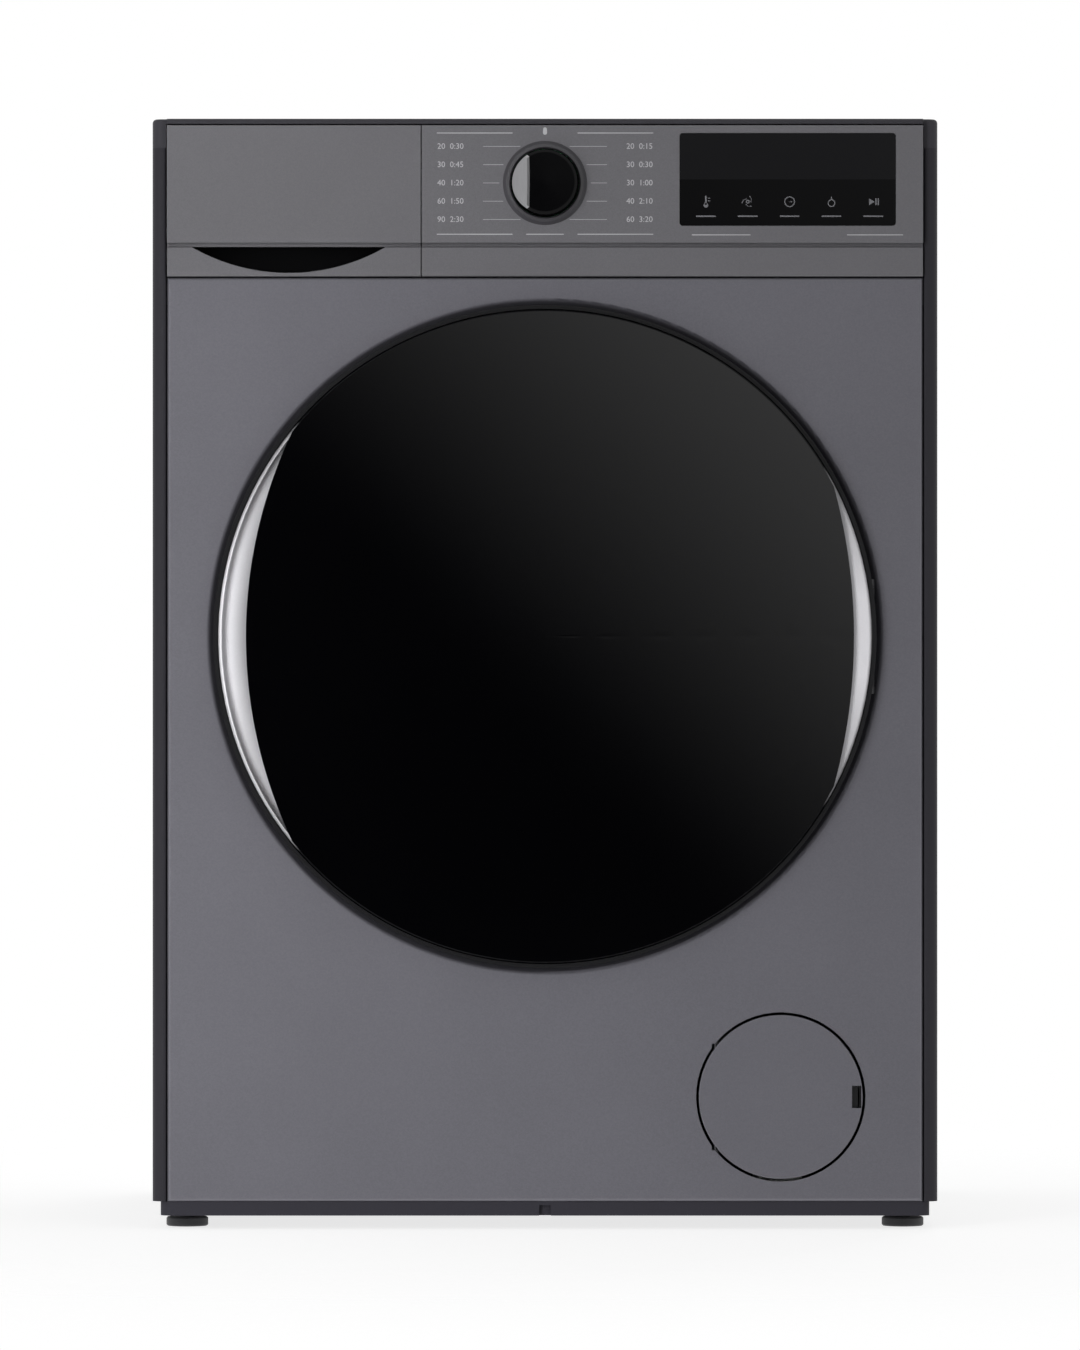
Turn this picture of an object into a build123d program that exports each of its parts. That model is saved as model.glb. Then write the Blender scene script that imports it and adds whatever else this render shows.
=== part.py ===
from build123d import *
from math import cos, hypot, radians, sin
import os

# A 60 cm front load washing machine, built up around its drum. Millimetres, +Z up, front towards -Y.
# X runs to the right as seen from the front. Depths are measured back from the front panel's face.

# Drum and tub
DRUM_RADIUS = 240.0
DRUM_DEPTH = 310.0
DRUM_SHEET = 1.0
DRUM_FRONT_WIDTH = 64.0
DRUM_HEM = 10.0
DRUM_SHOULDER = 16.0
DRUM_BACK_BEND = 6.0
DRUM_DISH_RADIUS = 95.0
DRUM_DISH_DEPTH = 8.0
LIFTER_WIDTH = 74.0
LIFTER_CREST = 30.0
LIFTER_HEIGHT = 46.0
LIFTER_END_ROOM = 14.0
LIFTER_COUNT = 3
DRUM_ROOM = 14.0
DRUM_END_ROOM = 6.0
TUB_WALL = 4.0
TUB_FLANGE = 9.0
TUB_FLANGE_THICK = 6.0
TUB_FRONT_LENGTH = 94.0
TUB_NECK = 18.0
TUB_NECK_INSET = 8.0
TUB_RIBS = 12
TUB_RIB_DEPTH = 12.0
SPIDER_ROOM = 28.0
SPIDER_ARM = 15.0
SPIDER_ARM_WIDTH = 46.0
SPIDER_HUB = 40.0
HUB_RADIUS = 46.0
HUB_LENGTH = 34.0
BEARING_WIDTH = 16.0
FRONT_BEARING = 31.0
REAR_BEARING = 26.0
FRONT_SHAFT = 15.0
REAR_SHAFT = 12.5
SHAFT_STUB = 6.0

# Drive
PULLEY_RADIUS = 150.0
PULLEY_WIDTH = 22.0
PULLEY_RIM = 6.0
PULLEY_HUB = 30.0
PULLEY_SPOKES = 6
SPOKE_WIDTH = 26.0
PULLEY_ROOM = 4.0
BELT_WIDTH = 14.0
BELT_THICK = 4.0
BELT_GAP = 0.4
MOTOR_PULLEY = 11.0
MOTOR_RADIUS = 60.0
MOTOR_LENGTH = 122.0
MOTOR_END = 10.0
MOTOR_BORE = 36.0
MOTOR_SHAFT = 8.0
MOTOR_GAP = 1.0
MOTOR_X = -20.0
MOTOR_ROOM = 15.0
MOTOR_FOOT = 6.0
MOTOR_FOOT_WIDTH = 96.0
MOTOR_EAR = 14.0

# Cabinet
SIDE_ROOM = 40.0
LOWER_ROOM = 172.0
TUB_TOP_ROOM = 16.0
REAR_ROOM = 30.0
SHEET = 1.0
SHEET_BEND = 1.6
CORNER_RADIUS = 8.0
HEM_FLAT = 1.0
HEM = 14.0
REAR_FLANGE = 22.0
TOP_FLANGE = 16.0
EMBOSS = 3.0
EMBOSS_MARGIN = 70.0
EMBOSS_CORNER = 40.0
PANEL_GAP = 0.8
PANEL_FLANGE = 15.0
PANEL_EDGE = 2.5
FIT = 0.3
RUNNING = 0.06
FOOT_HEIGHT = 10.0
FOOT_RADIUS = 16.0
FOOT_PAD = 7.0
FOOT_STEM = 5.0
FOOT_STEM_LENGTH = 30.0
FOOT_INSET = 25.0
FOOT_SETBACK = 46.0
SKIRT_HEIGHT = 11.0
SKIRT_INSET = 6.0
SKIRT_SETBACK = 3.0
NOTCH_WIDTH = 9.0
NOTCH_HEIGHT = 8.0
NOTCH_DEPTH = 5.0
TRAY_FLOOR = 3.0
TRAY_WALL = 3.0
TRAY_HEIGHT = 46.0
TRAY_RIB = 12.0
TRAY_RIBS = 5
TOP_HEIGHT = 22.0
TOP_LIP = 4.0
TOP_WALL = 4.0
TOP_EDGE = 3.0
BEAM_WIDTH = 40.0
BEAM_HEIGHT = 26.0
BEAM_SETBACK = 300.0
CROSSBAR_HEIGHT = 20.0
CROSSBAR_DEPTH = 28.0
ACCESS_WIDTH = 340.0
ACCESS_HEIGHT = 420.0
ACCESS_CORNER = 90.0
ACCESS_RISE = 9.0
ACCESS_FLANGE = 12.0
ACCESS_DROP = 60.0
TRANSIT_INSET = 77.0
TRANSIT_SPREAD = 150.0
TRANSIT_HOLE = 16.0
CAP_RIM = 5.0
CAP_RISE = 3.0
CAP_PLUG = 12.0
VENT_COUNT = 8
VENT_PITCH = 11.0
VENT_WIDTH = 4.0
VENT_LENGTH = 46.0

# Controls
FASCIA_HEIGHT = 115.2
LOWER_BAND = 24.0
FASCIA_PROUD = 6.0
BAND_PROUD = 2.0
FASCIA_DEPTH = 30.0
CREASE = 2.6
CREASE_FLOOR = 1.0
FASCIA_EDGE = 1.2
MOULDED_WALL = 2.5
WINDOW_WIDTH = 164.0
WINDOW_HEIGHT = 70.0
WINDOW_MARGIN = 21.0
WINDOW_TOP = 6.5
WINDOW_CORNER = 2.5
WINDOW_LIP = 3.0
WINDOW_FLANGE = 1.5
BOARD_THICK = 1.6
BOARD_ROOM = 7.0
CHIP_COUNT = 4
DIAL_RISE = 47.0
DIAL_RADIUS = 25.5
DIAL_HEIGHT = 19.0
DIAL_STEM = 3.0
DIAL_FACET = 11.4
DIAL_FACET_FALL = 13.0
INLAY_THICK = 1.2
BEZEL_RADIUS = 32.0
BEZEL_RISE = 3.6
BEZEL_GAP = 0.7
ENCODER_SIZE = 26.0
ENCODER_DEPTH = 9.0
DRAWER_WIDTH = 193.0
PULL_RADIUS = 148.0
PULL_DEPTH = 20.0
PULL_SHIFT = 4.0
TRAY_PLATE = 4.0
DRAWER_WALL = 2.0
DRAWER_LENGTH = 205.0
DRAWER_LOW = 15.0
DRAWER_TOP = 40.0
DRAWER_SIDE = 10.0
PREWASH_WIDTH = 52.0
SOFTENER_WIDTH = 46.0
HOUSING_ROOM = 4.0
HOUSING_WALL = 2.0
SIPHON_PLATE = 2.0
SIPHON_LENGTH = 90.0
SIPHON_TUBE = 9.0

# Door
DOOR_INSET = 6.0
DOOR_GAP = 4.0
DISH_RIM_WIDTH = 5.0
DISH_SLOPE = 5.0
DISH_BEND = 3.0
RECESS = 9.0
MOUTH_INSET = 8.0
MOUTH_ROLL = 12.0
DOOR_SEAT = 5.0
BACK_RIM = 13.0
BACK_WALL = 3.0
BACK_CHAMFER = 3.0
SILVER_INSET = 3.7
SILVER_RIM = 15.0
SILVER_FACE = 20.0
SILVER_SLOPE = 22.0
SILVER_SKIRT = 7.7
COVER_APEX = 34.0
COVER_EDGE = 20.5
COVER_INSET = 1.3
COVER_WALL = 3.0
COVER_GAP = 0.3
LEFT_ARC = 362.0
LEFT_CRESCENT = 20.0
RIGHT_ARC = 432.0
RIGHT_CRESCENT = 12.5
GRIP_UNDERCUT = 12.0
GRIP_FLOOR = 5.5
GRIP_LAND = 4.0
GLASS_FLANGE_WIDTH = 16.0
GLASS_STEP = 6.0
GLASS_ROOM = 1.0
GLASS_TAPER = 26.0
GLASS_DEPTH = 92.0
GLASS_TILT = 26.0
GLASS_WALL = 5.0
GLASS_FLANGE_THICK = 4.0
GLASS_ROUND = 14.0
BACK_RIBS = 16
HINGE_INSET = 6.0
HINGE_DEPTH = -6.0
HINGE_PIN = 2.5
HINGE_KNUCKLE = 4.5
HINGE_ARM = 6.0
HINGE_LEAF = 74.0
HINGE_GAP = 0.5
HINGE_POCKET = 100.0
HINGE_POCKET_WIDTH = 22.0
HINGE_PLATE = 3.0
HINGE_PLATE_WIDTH = 36.0
HINGE_PLATE_INSET = 6.0
LEAF_REACH = 44.0
LATCH_INSET = 52.0
LATCH_DEPTH = -3.0
LATCH_WIDTH = 13.0
LATCH_BOSS = 4.5
LATCH_PIN = 2.5
LATCH_TIP = 30.0
LATCH_TOOTH = 6.0
LATCH_EAR = 3.0
LATCH_ROOM = 2.0
LOCK_DEPTH = 27.0
LOCK_WIDTH = 58.0
LOCK_HEIGHT = 66.0

# Gasket
GASKET_ROOM = 79.0
GASKET_WALL = 3.0
GASKET_LIP_REACH = 21.0
GASKET_FOLD_REACH = 18.0
GASKET_BEND = 4.0

# Counterweights and suspension
WEIGHT_WIDTH = 56.0
WEIGHT_INSET = 4.0
WEIGHT_THICK = 35.0
UPPER_WEIGHT_ARC = 150.0
LOWER_WEIGHT_ARC = 90.0
SPRING_INSET = 33.0
SPRING_RADIUS = 12.0
SPRING_WIRE = 1.8
SPRING_TURNS = 12
SPRING_LENGTH = 128.0
SPRING_PLUG = 9.5
SPRING_PLUG_LENGTH = 14.0
LUG_SIZE = 30.0
LUG_THICK = 10.0
DAMPER_DEPTH = 240.0
DAMPER_LOW_X = 178.0
DAMPER_TOP_X = 150.0
DAMPER_LOW_Z = 45.0
DAMPER_TOP_DROP = 26.0
DAMPER_TUBE = 17.0
DAMPER_BORE = 13.4
DAMPER_ROD = 12.0
DAMPER_TUBE_LENGTH = 105.0
DAMPER_OVERLAP = 60.0
DAMPER_EYE = 11.0
DAMPER_PIN = 5.0
DAMPER_EYE_WIDTH = 22.0
DAMPER_EAR = 5.0
DAMPER_NECK = 4.0

# Water
FLAP_INSET = 119.5
FLAP_Z = 100.5
FLAP_RADIUS = 62.5
FLAP_GAP = 2.0
FLAP_THICK = 2.5
FLAP_SKIRT = 6.0
FLAP_PIVOT = 50.0
FLAP_PIVOT_DEPTH = 1.6
FLAP_PIN = 1.0
FLAP_LUG = 4.0
FLAP_LUG_WIDTH = 4.4
COIN_WIDTH = 7.0
COIN_HEIGHT = 17.0
COIN_DEPTH = 3.0
COLLAR_ROOM = 2.0
COLLAR_WALL = 2.5
COLLAR_DEPTH = 26.0
FILTER_FRONT = 30.0
FILTER_CAP = 33.0
FILTER_CAP_THICK = 10.0
FILTER_GRIP = 8.0
FILTER_BODY = 29.0
FILTER_LENGTH = 90.0
FILTER_SLOTS = 8
PUMP_WALL = 5.0
PUMP_CHAMBER = 24.0
PUMP_CHAMBER_DEPTH = 22.0
PUMP_MOTOR = 30.0
PUMP_MOTOR_LENGTH = 55.0
IMPELLER_RADIUS = 20.0
IMPELLER_DEPTH = 16.0
IMPELLER_BLADES = 6
IMPELLER_HUB = 6.0
IMPELLER_SHAFT = 2.0
PUMP_INLET = 16.0
PUMP_INLET_BACK = 55.0
PUMP_INLET_RISE = 14.0
SUMP_SPIGOT = 16.0
SUMP_SPIGOT_DROP = 26.0
HOSE_WALL = 2.5
HOSE_RIB = 3.0
HOSE_PITCH = 8.0
HOSE_LAP = 10.0
OUTLET_SPIGOT = 14.0
OUTLET_INSET = 55.4
OUTLET_DROP = 22.0
HEATER_TUBE = 3.2
HEATER_SPREAD = 20.0
HEATER_LENGTH = 240.0
HEATER_PLUG = 8.0
HEATER_PLUG_WIDTH = 66.0
HEATER_TERMINAL = 14.0
HEATER_ROOM = 5.0
VALVE_INSET = 84.0
VALVE_RISE = 66.0
VALVE_THREAD = 13.2
VALVE_REACH = 16.0
VALVE_BODY = 18.0
VALVE_COLLAR = 14.6
VALVE_LENGTH = 32.0
VALVE_COIL = 26.0
DRAIN_INSET = 71.0
DRAIN_RISE = 60.0
DRAIN_SPIGOT = 11.0
DRAIN_COLLAR = 12.6
DRAIN_REACH = 16.0
DRAIN_FLANGE = 18.0
GLAND_INSET = 71.0
GLAND_RISE = 120.0
GLAND_BORE = 4.2
GLAND_FLANGE = 13.0
GLAND_NECK = 9.0
GLAND_REACH = 10.0
MODULE_SHIFT = 12.0
MODULE_WIDTH = 44.0
MODULE_LENGTH = 130.0
MODULE_HEIGHT = 120.0
MODULE_SETBACK = 24.0
MODULE_FINS = 7

# Levels that follow from the drum and the rooms round it
TUB_RADIUS = DRUM_RADIUS + DRUM_ROOM + TUB_WALL
HALF_WIDTH = TUB_RADIUS + SIDE_ROOM + SHEET
DRUM_MOUTH = DRUM_RADIUS - DRUM_FRONT_WIDTH
TUB_NECK_RADIUS = DRUM_MOUTH - TUB_NECK_INSET
MOUTH_RADIUS = DRUM_MOUTH - MOUTH_INSET
GASKET_LIP = MOUTH_RADIUS - GASKET_LIP_REACH
GASKET_FOLD = MOUTH_RADIUS + GASKET_FOLD_REACH
GLASS_NECK = GASKET_LIP - GLASS_ROOM
GLASS_INNER = GLASS_NECK + GLASS_STEP
GLASS_FLANGE = GLASS_INNER + GLASS_FLANGE_WIDTH
GLASS_END = GLASS_NECK - GLASS_TAPER
SPRING_X = TUB_RADIUS - SPRING_INSET
TRANSIT_X = HALF_WIDTH - TRANSIT_INSET
Z_SKIRT = FOOT_HEIGHT
Z_PANEL = Z_SKIRT + SKIRT_HEIGHT
Z_FLOOR = Z_SKIRT + TRAY_FLOOR
Z_AXIS = Z_PANEL + LOWER_ROOM + TUB_RADIUS
Z_FASCIA_LOW = Z_AXIS + TUB_RADIUS + TUB_TOP_ROOM
Z_CREASE = Z_FASCIA_LOW + LOWER_BAND
Z_FASCIA_TOP = Z_FASCIA_LOW + FASCIA_HEIGHT
Z_LIP = Z_FASCIA_TOP + PANEL_GAP
MACHINE_HEIGHT = Z_LIP + TOP_LIP
Z_TOP = MACHINE_HEIGHT - TOP_HEIGHT
Z_PANEL_TOP = Z_FASCIA_LOW - PANEL_GAP
Z_DIAL = Z_CREASE + DIAL_RISE
FRONT_RETURN = CORNER_RADIUS + SHEET_BEND + HEM_FLAT
PANEL_HALF = HALF_WIDTH - FRONT_RETURN - PANEL_GAP
DRAWER_RIGHT = -PANEL_HALF + DRAWER_WIDTH
OUTLET_X = DRAWER_RIGHT - OUTLET_INSET
DOOR_RADIUS = TUB_RADIUS - DOOR_INSET
DISH_RADIUS = DOOR_RADIUS + DOOR_GAP
SILVER_RADIUS = DOOR_RADIUS - SILVER_INSET
COVER_RADIUS = SILVER_RADIUS - COVER_INSET
LEFT_REACH = COVER_RADIUS - LEFT_CRESCENT
RIGHT_REACH = COVER_RADIUS - RIGHT_CRESCENT
HINGE_X = DOOR_RADIUS - HINGE_INSET
HINGE_PLATE_REACH = HINGE_X - HINGE_PLATE_INSET
LATCH_REACH = DOOR_RADIUS - LATCH_INSET
TUB_FRONT = RECESS + GASKET_ROOM
DRUM_FRONT = TUB_FRONT + TUB_WALL + DRUM_END_ROOM
DRUM_BACK = DRUM_FRONT + DRUM_DEPTH
TUB_JOINT = TUB_FRONT + TUB_FRONT_LENGTH
TUB_BACK = DRUM_BACK + SPIDER_ROOM + TUB_WALL
HUB_BACK = TUB_BACK + HUB_LENGTH
PULLEY_FRONT = HUB_BACK + PULLEY_ROOM
PULLEY_BACK = PULLEY_FRONT + PULLEY_WIDTH
CABINET_DEPTH = PULLEY_BACK + REAR_ROOM
REAR_FACE = CABINET_DEPTH - SHEET - FIT
REAR_INNER = REAR_FACE - SHEET
Z_ACCESS = Z_AXIS - ACCESS_DROP
Z_MOTOR = Z_AXIS - TUB_RADIUS - MOTOR_ROOM - MOTOR_RADIUS
MOTOR_BACK = TUB_BACK
MOTOR_FRONT = MOTOR_BACK - MOTOR_LENGTH
BEAM_LOW = Z_TOP - SHEET - BEAM_HEIGHT
SPRING_TOP = BEAM_LOW - SPRING_WIRE
SPRING_LOW = SPRING_TOP - SPRING_LENGTH
BOARD_FRONT = -FASCIA_PROUD + MOULDED_WALL + BOARD_ROOM
FLAP_X = HALF_WIDTH - FLAP_INSET
VALVE_X = VALVE_INSET - HALF_WIDTH
DRAIN_X = HALF_WIDTH - DRAIN_INSET
GLAND_X = HALF_WIDTH - GLAND_INSET
FLAP_HOLE = FLAP_RADIUS + FLAP_GAP
FILTER_SEAT = FILTER_FRONT + FILTER_CAP_THICK
PUMP_RADIUS = FILTER_BODY + PUMP_WALL
PUMP_WEB = FILTER_SEAT + FILTER_LENGTH
Z_VALVE = Z_FASCIA_LOW + VALVE_RISE
FRONT_REACH = COVER_APEX
REAR_REACH = max(VALVE_REACH, DRAIN_REACH)
Y_FRONT = FRONT_REACH - (FRONT_REACH + CABINET_DEPTH + REAR_REACH) / 2


def block(x0, x1, d0, d1, z0, z1):
    """A block between two corners, with d as the depth behind the front panel's face."""
    middle = Pos((x0 + x1) / 2, Y_FRONT + (d0 + d1) / 2, (z0 + z1) / 2)
    return middle * Box(x1 - x0, d1 - d0, z1 - z0)


def bar(radius, d0, d1, x=0.0, z=Z_AXIS):
    """A round bar along the machine's depth."""
    return Pos(x, Y_FRONT + (d0 + d1) / 2, z) * Rot(90, 0, 0) * Cylinder(radius, d1 - d0)


def post(radius, x, d, z0, z1):
    """An upright round bar."""
    return Pos(x, Y_FRONT + d, (z0 + z1) / 2) * Cylinder(radius, z1 - z0)


def polygon(*points):
    return make_face(Polyline(*points, close=True))


def strip(points, bends, wall, side):
    """The section of a bent sheet: corner points with bend radii, thickened to one side."""
    path = FilletPolyline(*points, radius=bends)
    return make_face(path.wire().offset_2d(wall, side=side))


def spun(profile, x=0.0, z=Z_AXIS):
    """Turns a profile, drawn as radius and depth, round an axis along the depth."""
    return Pos(x, Y_FRONT, z) * revolve(profile, Axis.Y)


def pressed(sketch, d0, d1):
    """Extrudes a front view outline, X to the right and Y up, from depth d0 back to d1."""
    plane = Plane(origin=(0, Y_FRONT + d1, 0), x_dir=(1, 0, 0), z_dir=(0, -1, 0))
    return extrude(plane * sketch, amount=d1 - d0)


def column(sketch, z0, z1):
    """Extrudes a plan outline, X to the right and Y as depth, from z0 up to z1."""
    return Pos(0, Y_FRONT, z0) * extrude(sketch, amount=z1 - z0)


def beam(sketch, x0, x1):
    """Extrudes a side view outline, X as depth and Y up, across the machine."""
    plane = Plane(origin=(x0, Y_FRONT, 0), x_dir=(0, 1, 0), z_dir=(1, 0, 0))
    return extrude(plane * sketch, amount=x1 - x0)


def around(shape, count, z=Z_AXIS, x=0.0):
    """Copies of a shape, modelled about the origin's depth axis, turned evenly round an axis."""
    return [Pos(x, 0, z) * Rot(0, 360 / count * i, 0) * shape for i in range(count)]


def emboss(sheet, plane, field):
    """Presses a field with sloping sides into a sheet, along the plane's normal."""
    pad = extrude(plane * offset(field, SHEET), amount=EMBOSS + SHEET, taper=45)
    dish = extrude(plane * field, amount=EMBOSS, taper=45)
    return sheet + pad - dish


def side_panel():
    """Right-hand side panel: round hemmed front edge, rear and top flanges, pressed field."""
    hem_x = HALF_WIDTH - FRONT_RETURN
    points = [
        (hem_x, HEM),
        (hem_x, 0),
        (HALF_WIDTH, 0),
        (HALF_WIDTH, CABINET_DEPTH),
        (HALF_WIDTH - REAR_FLANGE, CABINET_DEPTH),
    ]
    section = strip(points, [SHEET_BEND, CORNER_RADIUS, SHEET_BEND], SHEET, Side.LEFT)
    panel = column(section, Z_PANEL, Z_TOP)
    flange_front = FASCIA_DEPTH + PANEL_GAP
    flange_left = HALF_WIDTH - TOP_FLANGE
    panel += block(flange_left, HALF_WIDTH - SHEET / 2, flange_front, REAR_INNER - FIT, Z_TOP - SHEET, Z_TOP)
    middle = (Z_PANEL + Z_TOP) / 2
    plane = Plane(origin=(HALF_WIDTH, Y_FRONT + CABINET_DEPTH / 2, middle), x_dir=(0, 1, 0), z_dir=(-1, 0, 0))
    long_side = Z_TOP - Z_PANEL - 2 * EMBOSS_MARGIN
    field = RectangleRounded(CABINET_DEPTH - 2 * EMBOSS_MARGIN, long_side, EMBOSS_CORNER)
    return emboss(panel, plane, field)


def transit_places():
    """The four places of the transit bolts in the rear panel, as X and Z."""
    return [(sx * TRANSIT_X, Z_AXIS + sz * TRANSIT_SPREAD) for sx in (-1, 1) for sz in (-1, 1)]


def rear_panel():
    """Rear sheet with the drive opening, transit holes, vents and the holes of the connections."""
    half = HALF_WIDTH - SHEET - SHEET_BEND
    panel = block(-half, half, REAR_INNER, REAR_FACE, Z_PANEL, Z_TOP - SHEET - FIT)
    opening = Pos(0, Z_ACCESS) * RectangleRounded(ACCESS_WIDTH, ACCESS_HEIGHT, ACCESS_CORNER)
    holes = opening
    for x, z in transit_places():
        holes += Pos(x, z) * Circle(TRANSIT_HOLE)
    holes += Pos(VALVE_X, Z_VALVE) * Circle(VALVE_COLLAR + FIT)
    holes += Pos(DRAIN_X, Z_AXIS + DRAIN_RISE + TRANSIT_SPREAD) * Circle(DRAIN_COLLAR + FIT)
    holes += Pos(GLAND_X, Z_AXIS + GLAND_RISE + TRANSIT_SPREAD) * Circle(GLAND_NECK + FIT)
    for i in range(VENT_COUNT):
        vent_x = (i - (VENT_COUNT - 1) / 2) * VENT_PITCH
        holes += Pos(vent_x, Z_FASCIA_LOW + LOWER_BAND) * SlotOverall(VENT_LENGTH, VENT_WIDTH, rotation=90)
    return panel - pressed(holes, REAR_INNER - SHEET, REAR_FACE + SHEET)


def rear_access_cover():
    """Domed cover over the drive opening, with a flat flange on the rear panel."""
    plane = Plane(origin=(0, Y_FRONT + REAR_FACE, Z_ACCESS), x_dir=(-1, 0, 0), z_dir=(0, 1, 0))
    field = RectangleRounded(ACCESS_WIDTH, ACCESS_HEIGHT, ACCESS_CORNER)
    flange = extrude(plane * offset(field, ACCESS_FLANGE), amount=SHEET)
    dome = extrude(plane * field, amount=ACCESS_RISE, taper=45)
    hollow = extrude(plane * offset(field, -SHEET), amount=ACCESS_RISE - SHEET, taper=45)
    return flange + dome - hollow


def transit_caps():
    """Four blanking caps, each with a domed head and a plug through the rear panel."""
    caps = []
    for x, z in transit_places():
        head = [
            (0, REAR_FACE + CAP_RISE),
            (TRANSIT_HOLE, REAR_FACE + CAP_RISE - SHEET),
            (TRANSIT_HOLE + CAP_RIM, REAR_FACE + SHEET),
            (TRANSIT_HOLE + CAP_RIM, REAR_FACE),
            (TRANSIT_HOLE - FIT, REAR_FACE),
            (TRANSIT_HOLE - FIT, REAR_INNER - CAP_PLUG),
            (TRANSIT_HOLE - FIT - MOULDED_WALL, REAR_INNER - CAP_PLUG),
            (TRANSIT_HOLE - FIT - MOULDED_WALL, REAR_FACE),
            (0, REAR_FACE),
        ]
        caps.append(spun(polygon(*head), x, z))
    return Compound(caps)


def front_panel():
    """Front sheet with folded edges, the door's dish and rolled mouth, and the flap's hole."""
    outer = block(-PANEL_HALF, PANEL_HALF, 0, PANEL_FLANGE, Z_PANEL, Z_PANEL_TOP)
    outer = fillet(outer.faces().sort_by(Axis.Y)[0].edges(), PANEL_EDGE)
    inner_half = PANEL_HALF - SHEET
    inner = block(-inner_half, inner_half, SHEET, 2 * PANEL_FLANGE, Z_PANEL + SHEET, Z_PANEL_TOP - SHEET)
    inner = fillet(inner.faces().sort_by(Axis.Y)[0].edges(), PANEL_EDGE - SHEET)
    rim = DISH_RADIUS + DISH_RIM_WIDTH
    panel = outer - inner - bar(rim, -SHEET, 2 * SHEET)
    points = [
        (rim, 0),
        (DISH_RADIUS, 0),
        (DISH_RADIUS - DISH_SLOPE, RECESS),
        (MOUTH_RADIUS, RECESS),
        (MOUTH_RADIUS, RECESS + MOUTH_ROLL),
    ]
    panel += spun(strip(points, [DISH_BEND, DISH_BEND, DISH_BEND], SHEET, Side.RIGHT))
    panel -= bar(FLAP_HOLE, -SHEET, 2 * SHEET, FLAP_X, FLAP_Z)
    notch = FLAP_LUG_WIDTH / 2 + FIT
    notch_x = FLAP_X - FLAP_PIVOT
    notch_z = flap_pin_reach() + FIT
    panel -= block(notch_x - notch, notch_x + notch, -SHEET, 2 * SHEET, FLAP_Z - notch_z, FLAP_Z + notch_z)
    slot_half = LATCH_WIDTH / 2 + LATCH_ROOM
    left = -LATCH_REACH - LATCH_BOSS - LATCH_TOOTH - 2 * LATCH_ROOM
    right = -LATCH_REACH + LATCH_BOSS + 2 * LATCH_ROOM
    panel -= block(left, right, RECESS - SHEET, RECESS + 2 * SHEET, Z_AXIS - slot_half, Z_AXIS + slot_half)
    for z0, z1 in hinge_arm_spans():
        arm_left = HINGE_PLATE_REACH - HINGE_PLATE_WIDTH
        arm_right = HINGE_X + HINGE_KNUCKLE
        panel -= block(arm_left, arm_right, RECESS / 2, RECESS + 2 * SHEET, z0 - HINGE_GAP, z1 + HINGE_GAP)
    return panel


def top_cover():
    """Worktop: a hollow moulded frame and board with a thin lip over the fascia."""
    cover = block(-HALF_WIDTH, HALF_WIDTH, 0, CABINET_DEPTH, Z_TOP, MACHINE_HEIGHT)
    front_corners = cover.edges().filter_by(Axis.Z).sort_by(Axis.Y)[:2]
    cover = fillet(front_corners, CORNER_RADIUS)
    cover = fillet(cover.faces().sort_by(Axis.Z)[-1].edges(), TOP_EDGE)
    lip = block(-PANEL_HALF, PANEL_HALF, -FASCIA_PROUD, 2 * CORNER_RADIUS, Z_LIP, MACHINE_HEIGHT)
    lip = fillet(lip.edges().filter_by(Axis.X).sort_by(Axis.Y)[:2].sort_by(Axis.Z)[-1:], TOP_EDGE)
    notch_half = PANEL_HALF + PANEL_GAP
    notch_back = FASCIA_DEPTH + PANEL_GAP
    notch = block(-notch_half, notch_half, -SHEET, notch_back, Z_TOP - SHEET, Z_LIP)
    inner = HALF_WIDTH - TOP_WALL
    hollow_front = notch_back + TOP_WALL
    hollow_back = CABINET_DEPTH - TOP_WALL
    ceiling = MACHINE_HEIGHT - TOP_WALL
    hollow = block(-inner, inner, hollow_front, hollow_back, Z_TOP - SHEET, ceiling)
    return cover + lip - notch - hollow


def front_crossbar():
    """Folded cross-member behind the joint of the front panel and the fascia."""
    top = Z_PANEL_TOP
    points = [
        (PANEL_FLANGE, top - CROSSBAR_HEIGHT),
        (PANEL_FLANGE, top),
        (PANEL_FLANGE + CROSSBAR_DEPTH, top),
        (PANEL_FLANGE + CROSSBAR_DEPTH, top - CROSSBAR_HEIGHT),
    ]
    section = strip(points, [SHEET_BEND, SHEET_BEND], SHEET, Side.RIGHT)
    return beam(section, -HALF_WIDTH + SHEET, HALF_WIDTH - SHEET)


def suspension_beam():
    """Channel across the cabinet, with a plug for each hanging spring."""
    front = BEAM_SETBACK - BEAM_WIDTH / 2
    back = BEAM_SETBACK + BEAM_WIDTH / 2
    points = [(front, Z_TOP - SHEET), (front, BEAM_LOW), (back, BEAM_LOW), (back, Z_TOP - SHEET)]
    section = strip(points, [SHEET_BEND + SHEET, SHEET_BEND + SHEET], SHEET, Side.LEFT)
    channel = beam(section, -HALF_WIDTH + SHEET, HALF_WIDTH - SHEET)
    for x in (-SPRING_X, SPRING_X):
        channel += post(SPRING_PLUG, x, BEAM_SETBACK, BEAM_LOW - SPRING_PLUG_LENGTH, BEAM_LOW)
    return channel


def foot_places():
    """The four feet, as name, X and depth."""
    x = HALF_WIDTH - FOOT_INSET
    back = CABINET_DEPTH - FOOT_SETBACK
    return {
        "foot_front_left": (-x, FOOT_SETBACK),
        "foot_front_right": (x, FOOT_SETBACK),
        "foot_rear_left": (-x, back),
        "foot_rear_right": (x, back),
    }


def tray_half():
    """Half the width between the base tray's inner walls."""
    return HALF_WIDTH - FRONT_RETURN - SHEET - SKIRT_SETBACK - TRAY_WALL


def tray_rib_x(i):
    """Middle of a rib of the base tray, counted from the left."""
    return (2 * (i + 1) / (TRAY_RIBS + 1) - 1) * tray_half()


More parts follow.
